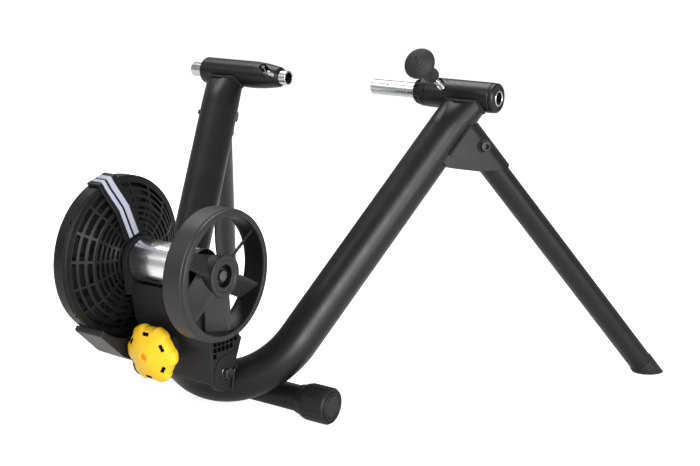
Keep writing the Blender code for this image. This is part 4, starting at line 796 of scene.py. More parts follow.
def build_housings(sizes):
    """Both clamp housings with their windows, and the fluted nose ring."""
    bore = SHAFT_R + 0.1
    near = clamp_lathe("clamp_barrel_near", (
        (135.2, bore), (135.2, 18.2), (135.9, HOUSING_R), (224.6, HOUSING_R), (225.2, 18.2),
        (226.2, 18.2), (226.8, 18.7), (230.2, 18.4), (232.0, 16.8), (232.0, 14.6), (231.6, 14.2),
        (209.0, 14.2), (209.0, bore)), sizes.tube_sides, 0.5)
    cut(near, screw_slot(LEVER_X, LEVER_ANGLE, -CLAMP_TRAVEL, LEVER_SWING, 4.9))
    finish(near, "frame", "black_paint", ["clamp_housing_near"])
    far = clamp_lathe("clamp_barrel_far", (
        (-231.1, 14.2), (-231.1, 16.2), (-228.6, FAR_HOUSING_R), (-141.0, FAR_HOUSING_R),
        (-124.0, 17.3), (-106.0, 14.6), (-101.5, 13.8), (-99.5, 12.4), (-99.5, bore), (-208.1, bore),
        (-208.1, 14.2)), sizes.tube_sides, 2.2)
    cut(far, screw_slot(PIN_X, PIN_ANGLE, CLAMP_TRAVEL, -PIN_SWING, 5.0))
    finish(far, "frame", "black_paint", ["clamp_housing_far"])
    flutes = sizes.nose_flutes

    def flute(along, turn):
        depth = smooth_share((along - 117.2) / 2.0) * smooth_share((128.0 - along) / 4.0)
        return -2.6 * depth * (0.5 + 0.5 * math.cos(flutes * turn)) ** 2

    nose = [(135.0, bore), (117.0, bore), (117.0, 13.4), (117.5, 14.4), (119.0, 15.7)]
    nose += [(119.0 + step, 15.7 + 2.7 * math.sin(math.pi / 2.0 * step / 11.0)) for step in range(1, 12)]
    nose += [(131.5, 18.4), (131.8, 18.0), (132.4, 18.0), (132.7, 18.4), (135.0, 18.4)]
    collar = clamp_lathe("fluted_nose_ring", nose, 240, shape_by=flute)
    finish(collar, "frame", "black_plastic", ["clamp_nose_collar"], angle=40.0)


def build_shafts(sizes):
    """Plated clamp shafts, their thrust rings and the lock pin."""
    near = clamp_lathe("plated_shaft_near", (
        (50.5, 7.4), (50.5, 9.0), (51.6, SHAFT_R), (232.8, SHAFT_R), (233.4, 9.3), (233.4, 8.3),
        (232.6, 7.7), (220.0, 7.5), (215.0, 6.9), (56.5, 6.9)), sizes.tube_sides, 0.5)
    lever_root, pin_root = at(LEVER_X, 0, AXLE_Z), at(PIN_X, 0, AXLE_Z)
    cut(near, cylinder("stem_hole", STEM_R + 0.1, 2.0, 14.0, lever_root, radial(LEVER_ANGLE), 32))
    cut(near, cylinder("small_hole", 1.2, 5.0, 14.0, at(76.0, 0, AXLE_Z), radial(34.0), 24))
    finish(near, "lever", "plated_steel", ["clamp_shaft"])
    far = clamp_lathe("plated_shaft_far", (
        (-253.6, 7.6), (-253.6, 8.4), (-252.0, SHAFT_R), (-87.7, SHAFT_R), (-86.9, 9.2),
        (-86.9, 8.3), (-88.0, 7.8), (-91.9, 7.6)), sizes.tube_sides, 0.6)
    cut(far, cylinder("pin_hole", 3.5, 3.0, 14.0, pin_root, radial(PIN_ANGLE), 32))
    finish(far, "cup", "plated_steel", ["cup_shaft"])
    pin = lathe("slot_pin", (
        (7.0, 0.0), (7.0, 3.4), (15.2, 3.4), (16.2, 2.4), (16.2, 1.5), (15.4, 1.2), (15.4, 0.0),
    ), pin_root, radial(PIN_ANGLE), 40, fillet=0.4)
    finish(pin, "cup", "dark_bolt", ["cup_lock_pin"])
    for name, node, x, towards, body in (
            ("thrust_ring_near", "clamp_thrust_washer", 231.0, -1, "clamp_washer"),
            ("thrust_ring_far", "cup_thrust_washer", -230.1, 1, "cup_washer")):
        ring = lathe(name, ((0.0, 10.0), (0.0, 13.9), (1.6, 13.9), (1.6, 10.0)), at(x, 0, AXLE_Z),
                     (towards, 0, 0), sizes.tube_sides, closed=True, fillet=0.25)
        finish(ring, body, "plated_steel", [node], material="rotor_dark")


def cap_height(head, share, rings):
    """Height of the grip's cap, from its edge at share 0 to the hollowed middle at 1, with fine rings."""
    dome = 13.6 * math.sin(share * math.pi / 2.0) ** 1.25
    wave = 0.3 * math.sin(2.0 * math.pi * rings * share) * smooth_share((share - 0.3) * 6.0)
    hollow = 1.6 * smooth_share((share - 0.84) / 0.16)
    return head + dome - hollow + wave


def build_lever(sizes):
    """Threaded stem and the mushroom grip with its fine rings."""
    origin = at(LEVER_X, 0, AXLE_Z)
    axis = radial(LEVER_ANGLE)
    core = 3.2
    stem = lathe("bright_stem", ((6.9, 0.0), (6.9, core), (34.0, core), (68.0, core), (68.0, 0.0)), origin,
                 axis, 48)
    thread = shape("thread_start", [origin], [])
    length = 26.0
    run_tree(thread, thread_tree(), {
        "Radius": core, "Length": length, "Turns": length / (sizes.thread_pitch / MM), "Ridge": 0.36,
        "Centre": origin + axis * 19.0, "Material": MATERIALS["plated_steel"],
        "Rotation": Vector((0, 0, 1)).rotation_difference(axis).to_euler()})
    add_loose(stem, thread)
    finish(stem, "lever", "plated_steel", ["lever_stem"])
    neck = 48.0
    wide = 19.6
    head = 86.5
    profile = [(68.3, 0.0), (68.3, 3.7), (neck, 3.7), (neck, 6.8), (neck + 0.9, 8.6), (neck + 3.0, 9.7),
               (neck + 6.5, 9.9), (neck + 10.0, 9.4), (neck + 15.0, 9.1), (neck + 19.0, 9.6),
               (head - 15.0, 11.6), (head - 11.0, 14.2), (head - 7.0, 17.0), (head - 3.5, wide - 0.8),
               (head - 0.5, wide)]
    cap_steps = 90
    for step in range(1, cap_steps):
        share = step / cap_steps
        profile.append((cap_height(head, share, sizes.grip_rings), wide * math.cos(share * math.pi / 2.0)))
    profile.append((cap_height(head, 1.0, sizes.grip_rings), 0.0))
    grip = lathe("mushroom_grip", profile, origin, axis)
    finish(grip, "lever", "grip_rubber", ["lever_knob"], angle=50.0)


# Legs

def mirrored(values, side):
    """Flip a direction or place for the far side."""
    return Vector((values[0] * side, values[1], values[2]))


def leg_frame(side):
    """Root, direction, hinge direction and open direction of a leg."""
    root = mirrored(LEG_ROOT, side) + Vector((0.0, SHIFT_Y, 0.0))
    along = mirrored(LEG_DIR, side).normalized()
    hinge = mirrored(HINGE_DIR, side)
    hinge = (hinge - along * hinge.dot(along)).normalized()
    opening = along.cross(hinge)
    if opening.z > 0.0:
        opening = -opening
    return root, along, hinge, opening


def build_bracket(side, word):
    """Folded sheet bracket that wraps the leg and runs back to the arm, with its welds."""
    root, along, hinge, opening = leg_frame(side)
    fold = 40
    section = [(60.0, BRACKET_IN), (60.0, BRACKET_OUT)]
    section += [(b, a) for a, b in arc((0, 0), BRACKET_OUT, 0.0, -180.0, fold)]
    section += [(60.0, -BRACKET_OUT), (60.0, -BRACKET_IN)]
    section += [(b, a) for a, b in arc((0, 0), BRACKET_IN, -180.0, 0.0, fold)]
    bracket = prism("sheet_bracket_" + word, section, root, opening, hinge, along, 6.0, 92.0)
    outline = ((8.0, -21.0), (90.0, -21.0), (90.0, -10.0), (64.0, 24.0), (35.5, 48.5), (28.0, 55.0),
               (8.0, 55.0))
    keep = prism("outline", round_corners(outline, 6.0, True), root, along, opening, hinge, -30.0, 30.0)
    combine(bracket, keep, "INTERSECT")
    length = 200.0
    top = arm_plane(side * ARM_X, 0.0)
    low = arm_plane(side * (ARM_X - math.tan(bend_half_angle()) * length), length)
    cut(bracket, cylinder("arm", TUBE_R + 0.05, 0, length, top, low - top, 128))
    cut(bracket, cylinder("hole", BORE_R, -30, 30, root + along * LEG_HINGE_AT, hinge, 40))
    bevel(bracket, 0.45, 2, 50.0)
    finish(bracket, "frame", "black_paint", ["leg_bracket_" + word])
    for offset, tag in ((BRACKET_OUT, "a"), (-BRACKET_OUT, "b")):
        line = bracket_weld_line(root, along, hinge * offset, opening, top, (low - top).normalized())
        if len(line) > 3:
            weld("weld_bracket_%s_%s" % (word, tag), line, *BRACKET_WELD)


def bracket_weld_line(root, along, aside, opening, top, down):
    """Line where a cheek of the bracket meets the arm, found by stepping towards it."""
    line = []
    for step in range(25):
        place = root + along * (10.0 + 56.0 * step / 24.0) + aside
        for reach in range(560):
            test = place + opening * (reach * 0.1 - 1.0)
            from_top = test - top
            if (from_top - down * from_top.dot(down)).length - (TUBE_R + 0.4) <= 0.0:
                line.append(test)
                break
    return line


def hex_bolt(name, centre, axis, seat, across, height, start):
    """Hexagon head with rounded corners, its washer face and a flat washer under it."""
    corner = across / math.cos(math.pi / 6.0)
    base = seat + 1.4
    head = cylinder(name, corner, base, base + height, centre, axis, 6, start)
    turned = ((seat + 1.0, 0), (seat + 1.0, corner + 1.0), (seat + 0.9 + height, across + 0.5),
              (base + height, across - 0.5), (base + height, 0))
    combine(head, lathe("turned", turned, centre, axis, 64), "INTERSECT")
    washer = ((seat, 0), (seat, across + 1.7), (seat + 0.3, across + 2.0), (seat + 1.3, across + 2.0),
              (seat + 1.6, across + 1.7), (seat + 1.6, 0))
    return add_loose(head, lathe("washer", washer, centre, axis, 64))


def build_legs(sizes):
    """Both folding legs with brackets, hinge bolts and rubber feet."""
    wall = 1.9
    plug = LEG_R - 2.2
    tip = LEG_FOOT_AT
    for side, word in ((1, "near"), (-1, "far")):
        root, along, hinge, opening = leg_frame(side)
        centre = root + along * LEG_HINGE_AT
        build_bracket(side, word)
        profile = [(LEG_HINGE_AT - LEG_R * math.cos(math.radians(a)), LEG_R * math.sin(math.radians(a)))
                   for a in range(0, 91, 6)]
        profile += [(tip - 0.3, LEG_R), (tip - 0.3, LEG_R - wall), (62.0, LEG_R - wall), (62.0, 0.0)]
        leg = lathe("leg_pipe_" + word, profile, root, along, sizes.tube_sides, start=opening)
        cut(leg, cylinder("hole", BORE_R, -24, 24, centre, hinge, 40))
        finish(leg, "leg_" + word, "black_paint", ["leg_tube_" + word])
        foot = lathe("leg_rubber_" + word, (
            (tip - 22, 0.0), (tip - 22, plug - 1), (tip - 20, plug), (tip, plug), (tip, 16.2),
            (tip + 1.0, 16.9), (tip + 7.0, 16.9), (tip + 7.6, 16.5), (tip + 8.6, 16.5), (tip + 9.2, 16.9),
            (tip + 42, 16.9), (tip + 42, 0.0)), root, along, sizes.tube_sides, start=opening, fillet=0.4)
        end = root + along * tip
        y = end.y - SHIFT_Y
        cut(foot, box("floor_cut", (end.x - 70, y - 70, -60), (end.x + 90, y + 90, 0)))
        finish(foot, "leg_" + word, "black_rubber", ["leg_foot_" + word])
        seat = BRACKET_OUT + 0.05
        bolt = hex_bolt("leg_hinge_bolt_" + word, centre, hinge, seat, 6.5, 5.2, along)
        cut(bolt, cylinder("socket", 3.6, seat + 3.0, seat + 12.0, centre, hinge, 6))
        rod = cylinder("rod", BOLT_R, -seat, seat, centre, hinge, 40)
        nut = hex_bolt("nut", centre, -hinge, seat, 6.5, 5.0, along)
        add_loose(bolt, rod, nut)
        finish(bolt, "frame", "dark_bolt", ["leg_bolt_" + word], material="black_bolt")


# Tilting unit

def rod_place(distance, offset=0.0):
    """Give the (Y, Z) place along the adjuster rod, with an offset square to it."""
    a, b = ROD_DIR[1], ROD_DIR[2]
    return (ANCHOR[0] + a * distance - b * offset, ANCHOR[1] + b * distance + a * offset)


def build_pivot_bracket():
    """Frame bracket under the unit: lugs, barrel and the two anchor plates."""
    low = arm_plane(0.0, BEND_REACH)
    seat = (low.y - SHIFT_Y, low.z)
    barrel = lathe("pivot_mount", ((-49.5, BORE_R), (-49.5, 8.6), (35.5, 8.6), (35.5, BORE_R)), PIVOT_AT,
                   ALONG_X, 64, closed=True, start=(0, -1, 0))
    lug = hull(arc(PIVOT, 9.6, 0, 324, 36) + [(seat[0] - 22, seat[1] + 4), seat, (seat[0] - 6, seat[1] + 30)])
    tall = hull(arc(PIVOT, 9.6, 0, 324, 36) + arc(ANCHOR, 10.5, 0, 324, 36)
                + [(seat[0] + 4, seat[1] + 8), (seat[0] - 14, seat[1] + 8)])
    for outline, left, right in ((lug, -50.0, -44.0), (lug, 30.0, 36.0), (tall, ROD_X - 12.5, ROD_X - 7.5),
                                 (tall, ROD_X + 7.5, ROD_X + 12.5)):
        join(barrel, side_prism("lug", outline, left, right))
    cut(barrel, sweep_tube("bend", TUBE_R + 0.05, 96, 48))
    cut(barrel, cylinder("bore", BORE_R, -60, 46, PIVOT_AT, sides=40))
    cut(barrel, cylinder("seat", 6.6, -40, 10, at(0, *ANCHOR), sides=48))
    bevel(barrel, 0.5, 2, 50.0)
    finish(barrel, "frame", "black_paint", ["unit_pivot_bracket"])


def build_hook():
    """Bent wire keeper beside the pivot bolt."""
    line = [(-282.4, 38.0), (-281.9, 44.0), (-281.1, 50.0), (-280.5, 58.0)]
    line += arc((-274.8, 58.6), 5.6, 168.0, 8.0, 16)
    line += [(-269.0, 56.0), (-269.6, 50.4), (-270.2, 44.0)]
    hook = rod_along("wire_keeper", [at(47.4, y, z) for y, z in line], 1.9, sides=24)
    cut(hook, sweep_tube("bend", TUBE_R - 0.5, 96, 48))
    finish(hook, "frame", "black_paint", ["pivot_wire_hook"])


def body_shell():
    """Outer form of the cast body: front wall, ears, arms up to the shaft and the rounded boss."""
    outline = ((-346.0, 165.0), (-340.0, 135.0), (-334.0, 112.0), (-320.0, 99.0), (-317.0, 79.0),
               (-314.5, 48.0), (-289.0, 43.2), (-272.6, 73.7), (-262.0, 100.0), (-283.0, 118.0),
               (-304.0, 165.0))
    body = side_prism("cast_unit_body", round_corners(outline, 9.0, True, 6), BODY_X[0], BODY_X[1])
    bevel(body, 1.6, 4, 60.0)
    slant = math.degrees(math.atan2(-18.0, 33.4))
    ear = arc(PIVOT, EAR_R, slant + 66.0, slant + 294.0, 56)
    join(body, bevel(side_prism("ears", ear, BODY_X[0], BODY_X[1]), 1.2, 3, 60.0))
    shaft = (ROLLER_Y, ROLLER_Z)
    near = hull(arc(shaft, BODY_ARM_R[0], 0, 180, 40) + [(-351.4, 150.0), (-304.0, 150.0)])
    far = hull(arc(shaft, BODY_ARM_R[1], 0, 180, 40) + [(-351.0, 150.0), (-303.2, 150.0)])
    join(body, bevel(side_prism("near_arm", near, 35.0, 42.0), 0.8, 3, 60.0))
    join(body, side_prism("far_arm", far, BODY_X[0], -52.0))
    back = math.degrees(math.atan2(ROD_DIR[2], ROD_DIR[1]))
    nose = arc(rod_place(60.5), 14.0, back - 78.0, back + 78.0, 40)
    nose += [rod_place(50.5, 12.0), rod_place(50.5, -12.0)]
    join(body, bevel(side_prism("rod_nose", nose, ROD_X - 12.5, ROD_X + 12.5), 1.2, 3, 60.0))
    return body


def pocket_tree():
    """Cut the same pocket at every point of a second object."""
    tree, given = tree_with("cast_pockets", (
        ("Places", "Object", None), ("Size", "Vector", (8.0, 7.4, 7.4))))
    places = add_node(tree, "GeometryNodeObjectInfo", transform_space="ORIGINAL")
    cube = add_node(tree, "GeometryNodeMeshCube")
    put = add_node(tree, "GeometryNodeInstanceOnPoints")
    wire(tree,
         (given["Places"], places.inputs["Object"]), (places.outputs["Geometry"], put.inputs["Points"]),
         (given["Size"], cube.inputs["Size"]), (cube.outputs["Mesh"], put.inputs["Instance"]))
    return end_tree(tree, carve_all(tree, given, put.outputs[0]), given)


def pocket_places(pitch, size):
    """Centres of the pockets that fit between the ear, the slanting edge and the wheel."""
    places = []
    for column in range(8):
        for row in range(9):
            left = -314.2 + pitch * column
            low = 74.0 + pitch * row
            corners = [(left, low), (left + size, low), (left, low + size), (left + size, low + size)]
            on_ear = min(math.hypot(y - PIVOT_Y, z - PIVOT_Z) for y, z in corners) < EAR_R - 0.6
            past_edge = max((y + 262.0) + 0.42 * (100.0 - z) for y, z in corners) > -6.0
            too_high = max(z + 0.5 * (y + 283.0) for y, z in corners) > 124.0
            if not (on_ear or past_edge or too_high):
                places.append(at(BODY_X[1], left + size / 2.0, low + size / 2.0))
    return places


def hollow_body(body):
    """Take the cast body's inside, its bores and the adjuster's slot away."""
    hollow = ((-340.0, 155.0), (-335.0, 134.0), (-329.5, 110.0), (-316.0, 96.5), (-313.0, 79.0),
              (-310.0, 20.0), (-220.0, 20.0), (-220.0, 116.0), (-287.0, 116.0), (-300.0, 134.0),
              (-307.0, 155.0))
    cut(body, side_prism("hollow", hollow, BODY_X[0] + 4.0, BODY_X[1] - 6.0))
    cut(body, cylinder("cradle", 28.3, -52.0, 35.0, ROLLER_AT, sides=128))
    cut(body, box("over_near", (42.0, -400.0, 148.0), (60.0, -250.0, 260.0)))
    cut(body, box("over_walls", (-52.0, -400.0, 164.0), (35.0, -250.0, 260.0)))
    cut(body, cylinder("pivot_bore", BORE_R, -70, 60, PIVOT_AT, sides=40))
    cut(body, cylinder("bearing_seats", 13.3, -70, 60, ROLLER_AT, sides=64))
    slot = [rod_place(20.0, 8.5), rod_place(20.0, -8.5), rod_place(90.0, -8.5), rod_place(90.0, 8.5)]
    cut(body, side_prism("rod_slot", slot, ROD_X - 4.9, ROD_X + 4.9))


def ear_plate():
    """Thin raised face on the near ear, with the strip that runs up the body's edge."""
    low, high = BODY_X[1] - 0.3, BODY_X[1] + 1.3
    face = side_prism("ear_plate", arc(PIVOT, EAR_R - 1.6, 0, 354, 59), low, high)
    edge = ((-273.5, 72.0), (-263.8, 98.0), (-268.5, 102.5), (-279.5, 74.0))
    join(face, side_prism("edge_strip", edge, low, high))
    bevel(face, 0.5, 3, 60.0)
    return cut(face, cylinder("seat", 9.6, 40, 60, PIVOT_AT, sides=64))


def build_body(sizes):
    """Cast body of the tilting unit, its pivot bolt, the frame's bracket under it and the wire keeper."""
    body = body_shell()
    hollow_body(body)
    pitch = sizes.pocket_pitch / MM
    size = pitch - 1.5
    places = shape("pocket_places", pocket_places(pitch, size), [])
    run_tree(body, pocket_tree(), {
        "Places": places, "Size": (8.0, size, size), "Material": MATERIALS["cast_black"]})
    drop(places)
    add_loose(body, ear_plate())

    # Painted shade: the walls and floors of the cast pockets are coloured darker.
    def in_pocket(place, normal):
        inside = BODY_X[1] - 4.5 < place.x < BODY_X[1] - 0.1 and place.z > 70.0
        return inside and (abs(normal.x) < 0.01 or normal.x > 0.99)

    mark_painted_shade(body, in_pocket)
    finish(body, "unit", "cast_black", ["unit_body"])
    bolt = hex_bolt("pivot_hex_bolt", PIVOT_AT, ALONG_X, BODY_X[1] + 0.3, 6.5, 5.4, (0, 1, 0.6))
    rod = cylinder("rod", BOLT_R, -58.3, 44.4, PIVOT_AT, sides=40)
    nut = hex_bolt("nut", PIVOT_AT, (-1, 0, 0), 58.3, 6.5, 5.0, (0, 1, 0))
    add_loose(bolt, rod, nut)
    finish(bolt, "unit", "plated_steel", ["unit_pivot_bolt"], material="dark_bolt")
    build_pivot_bracket()
    build_hook()


def build_roller():
    """Turned and polished roller with recessed ends."""
    profile = (
        (-50.0, 21.5), (-50.0, 24.4), (-48.8, ROLLER_R), (30.8, ROLLER_R), (32.0, 24.4), (32.0, 21.5),
        (26.0, 20.5), (26.0, 10.0), (30.5, 9.2), (30.5, 6.3), (-48.5, 6.3), (-48.5, 9.2), (-44.0, 10.0),
        (-44.0, 20.5),
    )
    roller = lathe("polished_roller", profile, ROLLER_AT, ALONG_X, 160, closed=True, fillet=0.6)
    finish(roller, "rotor", "polished_steel", ["roller"])


# Flywheel

def wheel_place(x, radius, angle):
    """Place seen from the roller's line, angle in degrees from forward, upwards."""
    turn = math.radians(angle)
    return Vector((x, radius * math.cos(turn), radius * math.sin(turn)))


def blade_mesh(front, rear, first, sweep):
    """One slanting blade from hub to rim; its rear edge is moved sideways by the sweep."""
    stations = 24
    across = 18
    verts = []
    for i in range(stations + 1):
        share = i / stations
        radius = 19.0 + (68.0 - 19.0) * share
        turn = math.radians(first + 12.0 * (1.0 - share) ** 1.5)
        out = Vector((0.0, math.cos(turn), math.sin(turn)))
        back = Vector((0.0, math.sin(turn), -math.cos(turn)))
        half = 2.4 - 0.5 * share
        for face in (-1.0, 1.0):
            for j in range(across + 1):
                t = j / across
                edge = math.sin(math.pi * min(1.0, max(0.02, min(t, 1.0 - t) * 12.0)) / 2.0)
                aside = sweep * (0.82 * t + 0.18 * t * t) - face * half * edge
                reach = max(math.sqrt(max(radius ** 2 - aside ** 2, 0.0)), 0.3 * (radius - 17.0))
                verts.append(Vector((front + (rear - front) * t, 0, 0)) + out * reach + back * aside)
    width = 2 * (across + 1)
    loop = list(range(across + 1)) + list(range(width - 1, across, -1))
    rings = [[i * width + k for k in loop] for i in range(stations + 1)]
    faces = []
    for low, high in zip(rings[:-1], rings[1:]):
        faces += wall_faces(low, high)
    return shape("blade", verts, faces + [tuple(rings[0]), tuple(rings[-1])])


def build_flywheel(sizes):
    """Heavy rim, recessed hub and the ring of slanting blades."""
    start, end = FLY_X
    rim = lathe("flywheel_rim", (
        (start, 68.0), (start, 75.0), (start + 1.4, FLY_R), (end - 5.2, FLY_R), (end - 4.4, 75.2),
        (end - 3.6, 74.9), (end - 1.4, 74.9), (end - 0.3, 74.0), (end, 72.8), (end, 68.6), (end - 0.5, 67.6),
        (end - 2.2, 67.0), (end - 8.0, 66.7), (start + 6.0, 66.7),
    ), ROLLER_AT, ALONG_X, 192, closed=True, fillet=0.5)
    hub = lathe("hub", (
        (start + 1.5, 6.3), (start + 1.5, 20.0), (end - 5.6, 24.2), (end - 3.4, 24.8), (end - 2.4, 23.8),
        (end - 2.4, 19.2), (end - 3.0, 18.4), (end - 3.6, 18.0), (end - 3.6, 13.4), (end - 4.4, 12.8),
        (64.4, 12.4), (64.4, 6.3),
    ), ROLLER_AT, ALONG_X, 128, closed=True, fillet=0.6)
    blade = blade_mesh(end - 4.8, start + 4.6, 42.0, 21.0)
    ring = shape("blade_ring", [ROLLER_AT], [])
    run_tree(ring, ring_tree(False), {
        "Piece": blade, "Count": sizes.fly_blades, "Centre": ROLLER_AT, "Axis": ALONG_X,
        "Material": MATERIALS["fly_grey"]})
    drop(blade)
    add_loose(rim, hub, ring)

    # Painted shade: the inside of the rim and the faces round the bore are coloured darker.
    def in_shade(place, normal):
        away = Vector((0.0, place.y - ROLLER_AT.y, place.z - ROLLER_AT.z))
        inward = normal.dot(away.normalized()) < -0.6
        return inward and (away.length > 66.0 or away.length < 14.5) or away.length < 12.6

    mark_painted_shade(rim, in_shade)
    finish(rim, "rotor", "fly_grey", ["flywheel"], angle=36.0)
    bolt = hex_bolt("flywheel_hex_bolt", ROLLER_AT, ALONG_X, 64.7, 6.2, 4.6, (0, 1, 0.2))
    finish(bolt, "rotor", "plated_steel", ["flywheel_bolt"], material="dark_bolt")


# Drum

# (radius, height) along the dome, and the radii between which each ring of slots lies.
DOME = ((95.5, 0.0), (88.0, 0.6), (64.0, 14.5), (28.4, 20.5))
SLOT_RINGS = ((31.6, 34.8), (37.8, 41.0), (44.2, 47.6), (50.8, 54.4), (57.6, 61.2), (65.8, 71.0),
              (74.2, 79.6), (82.4, 87.0))


def dome_height(radius):
    """Height of the grille's outer face above the drum's rim at a radius."""
    for (r0, h0), (r1, h1) in zip(DOME[:-1], DOME[1:]):
        if r1 <= radius <= r0:
            return h0 + (h1 - h0) * (r0 - radius) / (r0 - r1)
    return DOME[-1][1]


def slot_sector(sectors, rib):
    """Cutters of one sector between two ribs: arcs with rounded ends, in rings."""
    half = math.pi / sectors
    verts = []
    faces = []
    for low, high in SLOT_RINGS:
        outline = []
        for radius, ends in ((low, 1.0), (high, -1.0)):
            reach = half - math.asin(rib / 2.0 / radius)
            for step in range(9):
                turn = ends * reach * (step / 4.0 - 1.0)
                outline.append((radius * math.cos(turn), radius * math.sin(turn)))
        outline = round_corners(outline, min(1.1, 0.3 * (high - low)), True, 3)
        base = len(verts)
        count = len(outline)
        for x in (DRUM_X[1] - 12.0, DRUM_X[1] + 30.0):
            verts += [Vector((x, a, b)) for a, b in outline]
        ends = range(base, base + count), range(base + count, base + 2 * count)
        faces += [tuple(ends[0]), tuple(ends[1])] + wall_faces(*ends)
    return shape("sector", verts, faces)


def build_grille(sizes):
    """Domed cover pierced by rings of arc slots between thin ribs."""
    thick = 2.2
    rim = DRUM_X[1]
    edge = [(rim - 2.0, 87.6), (rim - 2.0, 95.0), (rim - 1.2, 95.5), (rim - 0.6, 95.3), (rim, 94.4),
            (rim + 0.3, 92.0), (rim + 0.6, 88.4), (rim + 1.1, 87.2)]
    slope = []
    for r0, r1 in ((87.0, 64.6), (64.0, 28.4)):
        for step in range(7):
            radius = r0 + (r1 - r0) * step / 6.0
            slope.append((rim + dome_height(radius), radius))
    profile = edge + slope + [(x - thick, radius) for x, radius in reversed(slope)]
    dome = lathe("slotted_dome", profile, ROLLER_AT, ALONG_X, 192, closed=True)
    sector = slot_sector(sizes.grille_sectors, sizes.grille_rib / MM)
    first = math.radians(BAND_ANGLE) + math.pi / sizes.grille_sectors
    sector.data.transform(Matrix.Rotation(first, 4, "X"))
    run_tree(dome, ring_tree(True), {
        "Piece": sector, "Count": sizes.grille_sectors, "Centre": ROLLER_AT, "Axis": ALONG_X,
        "Material": MATERIALS["black_plastic"]})
    drop(sector)
    finish(dome, "unit", "black_plastic", ["fan_grille"], angle=30.0)


def strip(name, lifts, sides, hub, rear, round_by):
    """Strip over the drum's side wall and down the dome to the hub, between two heights above them."""
    turn = math.radians(BAND_ANGLE)
    outward = Vector((0.0, math.cos(turn), math.sin(turn)))
    across = Vector((0.0, math.sin(turn), -math.cos(turn)))
    lines = []
    front = DRUM_X[1]
    for lift in lifts:
        lines.append(round_corners([
            (rear, DRUM_R + lift), (front + 0.12 * lift, DRUM_R + lift),
            (front + 0.7 + 0.9 * lift, 88.0 + 0.6 * lift), (front + 14.5 + 0.95 * lift, 64.0 + 0.4 * lift),
            (front + 20.3 + lift, hub)], 2.0))
    outline = lines[0] + list(reversed(lines[1]))
    return bevel(prism(name, outline, ROLLER_AT, ALONG_X, outward, across, *sides), round_by, 3, 60.0)


def build_drum(sizes):
    """Side wall and back of the drum, the raised band with its stripes and the chin below."""
    start, end = DRUM_X
    rim = end - 2.3
    inside = DRUM_R - 2.5
    shell = lathe("drum_wall", (
        (start, 0.0), (start, 30.0), (start - 2.0, 33.0), (start - 2.0, 60.0), (start, 63.0), (start, 90.5),
        (start + 1.6, 94.0), (start + 5.0, DRUM_R), (rim - 1.0, DRUM_R), (rim, 94.9), (rim, inside),
        (start + 2.2, inside), (start + 2.2, 0.0),
    ), ROLLER_AT, ALONG_X, 192, start=(0, -1, 0), fillet=1.2)
    for angle in (148.0, 219.0):
        notch = prism("notch", ((-1.2, 94.2), (1.6, 94.2), (1.6, 99.0), (-1.2, 99.0)),
                      ROLLER_AT + Vector((end - 5.2, 0, 0)), ALONG_X, wheel_place(0, 1, angle),
                      wheel_place(0, 1, angle + 90.0), -2.0, 2.0)
        cut(shell, notch)
    lip = [ROLLER_AT + wheel_place(end - 4.3, DRUM_R + 0.1, 152.0 + 63.0 * step / 40.0) for step in range(41)]
    add_loose(shell, rod_along("lip", lip, 0.7, 12))
    finish(shell, "unit", "black_plastic", ["drum_shell"])
    build_grille(sizes)
    rear = start + 4.0
    band = strip("raised_band", (0.05, 3.2), BAND_SIDES, 27.5, rear, 0.7)
    finish(band, "unit", "black_plastic", ["band_cover"])
    for name, node, sides in (("stripe_broad", "band_stripe_wide", (1.4, 8.6)),
                              ("stripe_slim", "band_stripe_narrow", (-7.0, -1.9))):
        stripe = strip(name, (2.9, 4.0), sides, 30.5, rear + 1.0, 0.2)
        finish(stripe, "unit", "band_pale", [node])
    build_chin()


def build_chin():
    """Hollow moulding that closes the drum below, following its curve."""
    outline = ((-392.0, 107.5), (-353.0, 73.4), (-318.5, 57.0), (-307.0, 57.0), (-301.5, 62.5),
               (-301.5, 130.0), (-374.0, 130.0))
    left, right = DRUM_X[0] + 0.3, BODY_X[0] - 0.3
    wall = 3.0
    chin = side_prism("chin_moulding", round_corners(outline, 3.0, True), left, right)
    bevel(chin, 1.4, 3, 60.0)
    hollow = ((-385.0, 106.0), (-352.0, 76.4), (-317.8, 60.0), (-308.2, 60.0), (-304.5, 63.7),
              (-304.5, 130.0), (-385.0, 130.0))
    cut(chin, side_prism("hollow", hollow, left + wall, right - wall))
    cut(chin, cylinder("drum", DRUM_R + 0.1, -110, -40, ROLLER_AT, sides=192))
    cut(chin, cylinder("socket", 4.6, -2.5, 5.0, at(DRUM_X[0], -318.0, 74.0), sides=40))
    finish(chin, "unit", "grey_plastic", ["lower_cover"])


# Adjuster

def knob_dip(turn, depth, lobes):
    """How far the knob's outline dips between its lobes."""
    step = math.tanh(2.6 * math.cos(lobes * turn)) / math.tanh(2.6)
    return -depth * (0.5 - 0.5 * step)


def mark_painted_shade(piece, test):
    """Mark the faces that lie in shade, which the finish darkens as painted shade."""
    mark = piece.data.attributes.new("recess", "FLOAT", "FACE")
    for face in piece.data.polygons:
        mark.data[face.index].value = 1.0 if test(face.center, face.normal) else 0.0


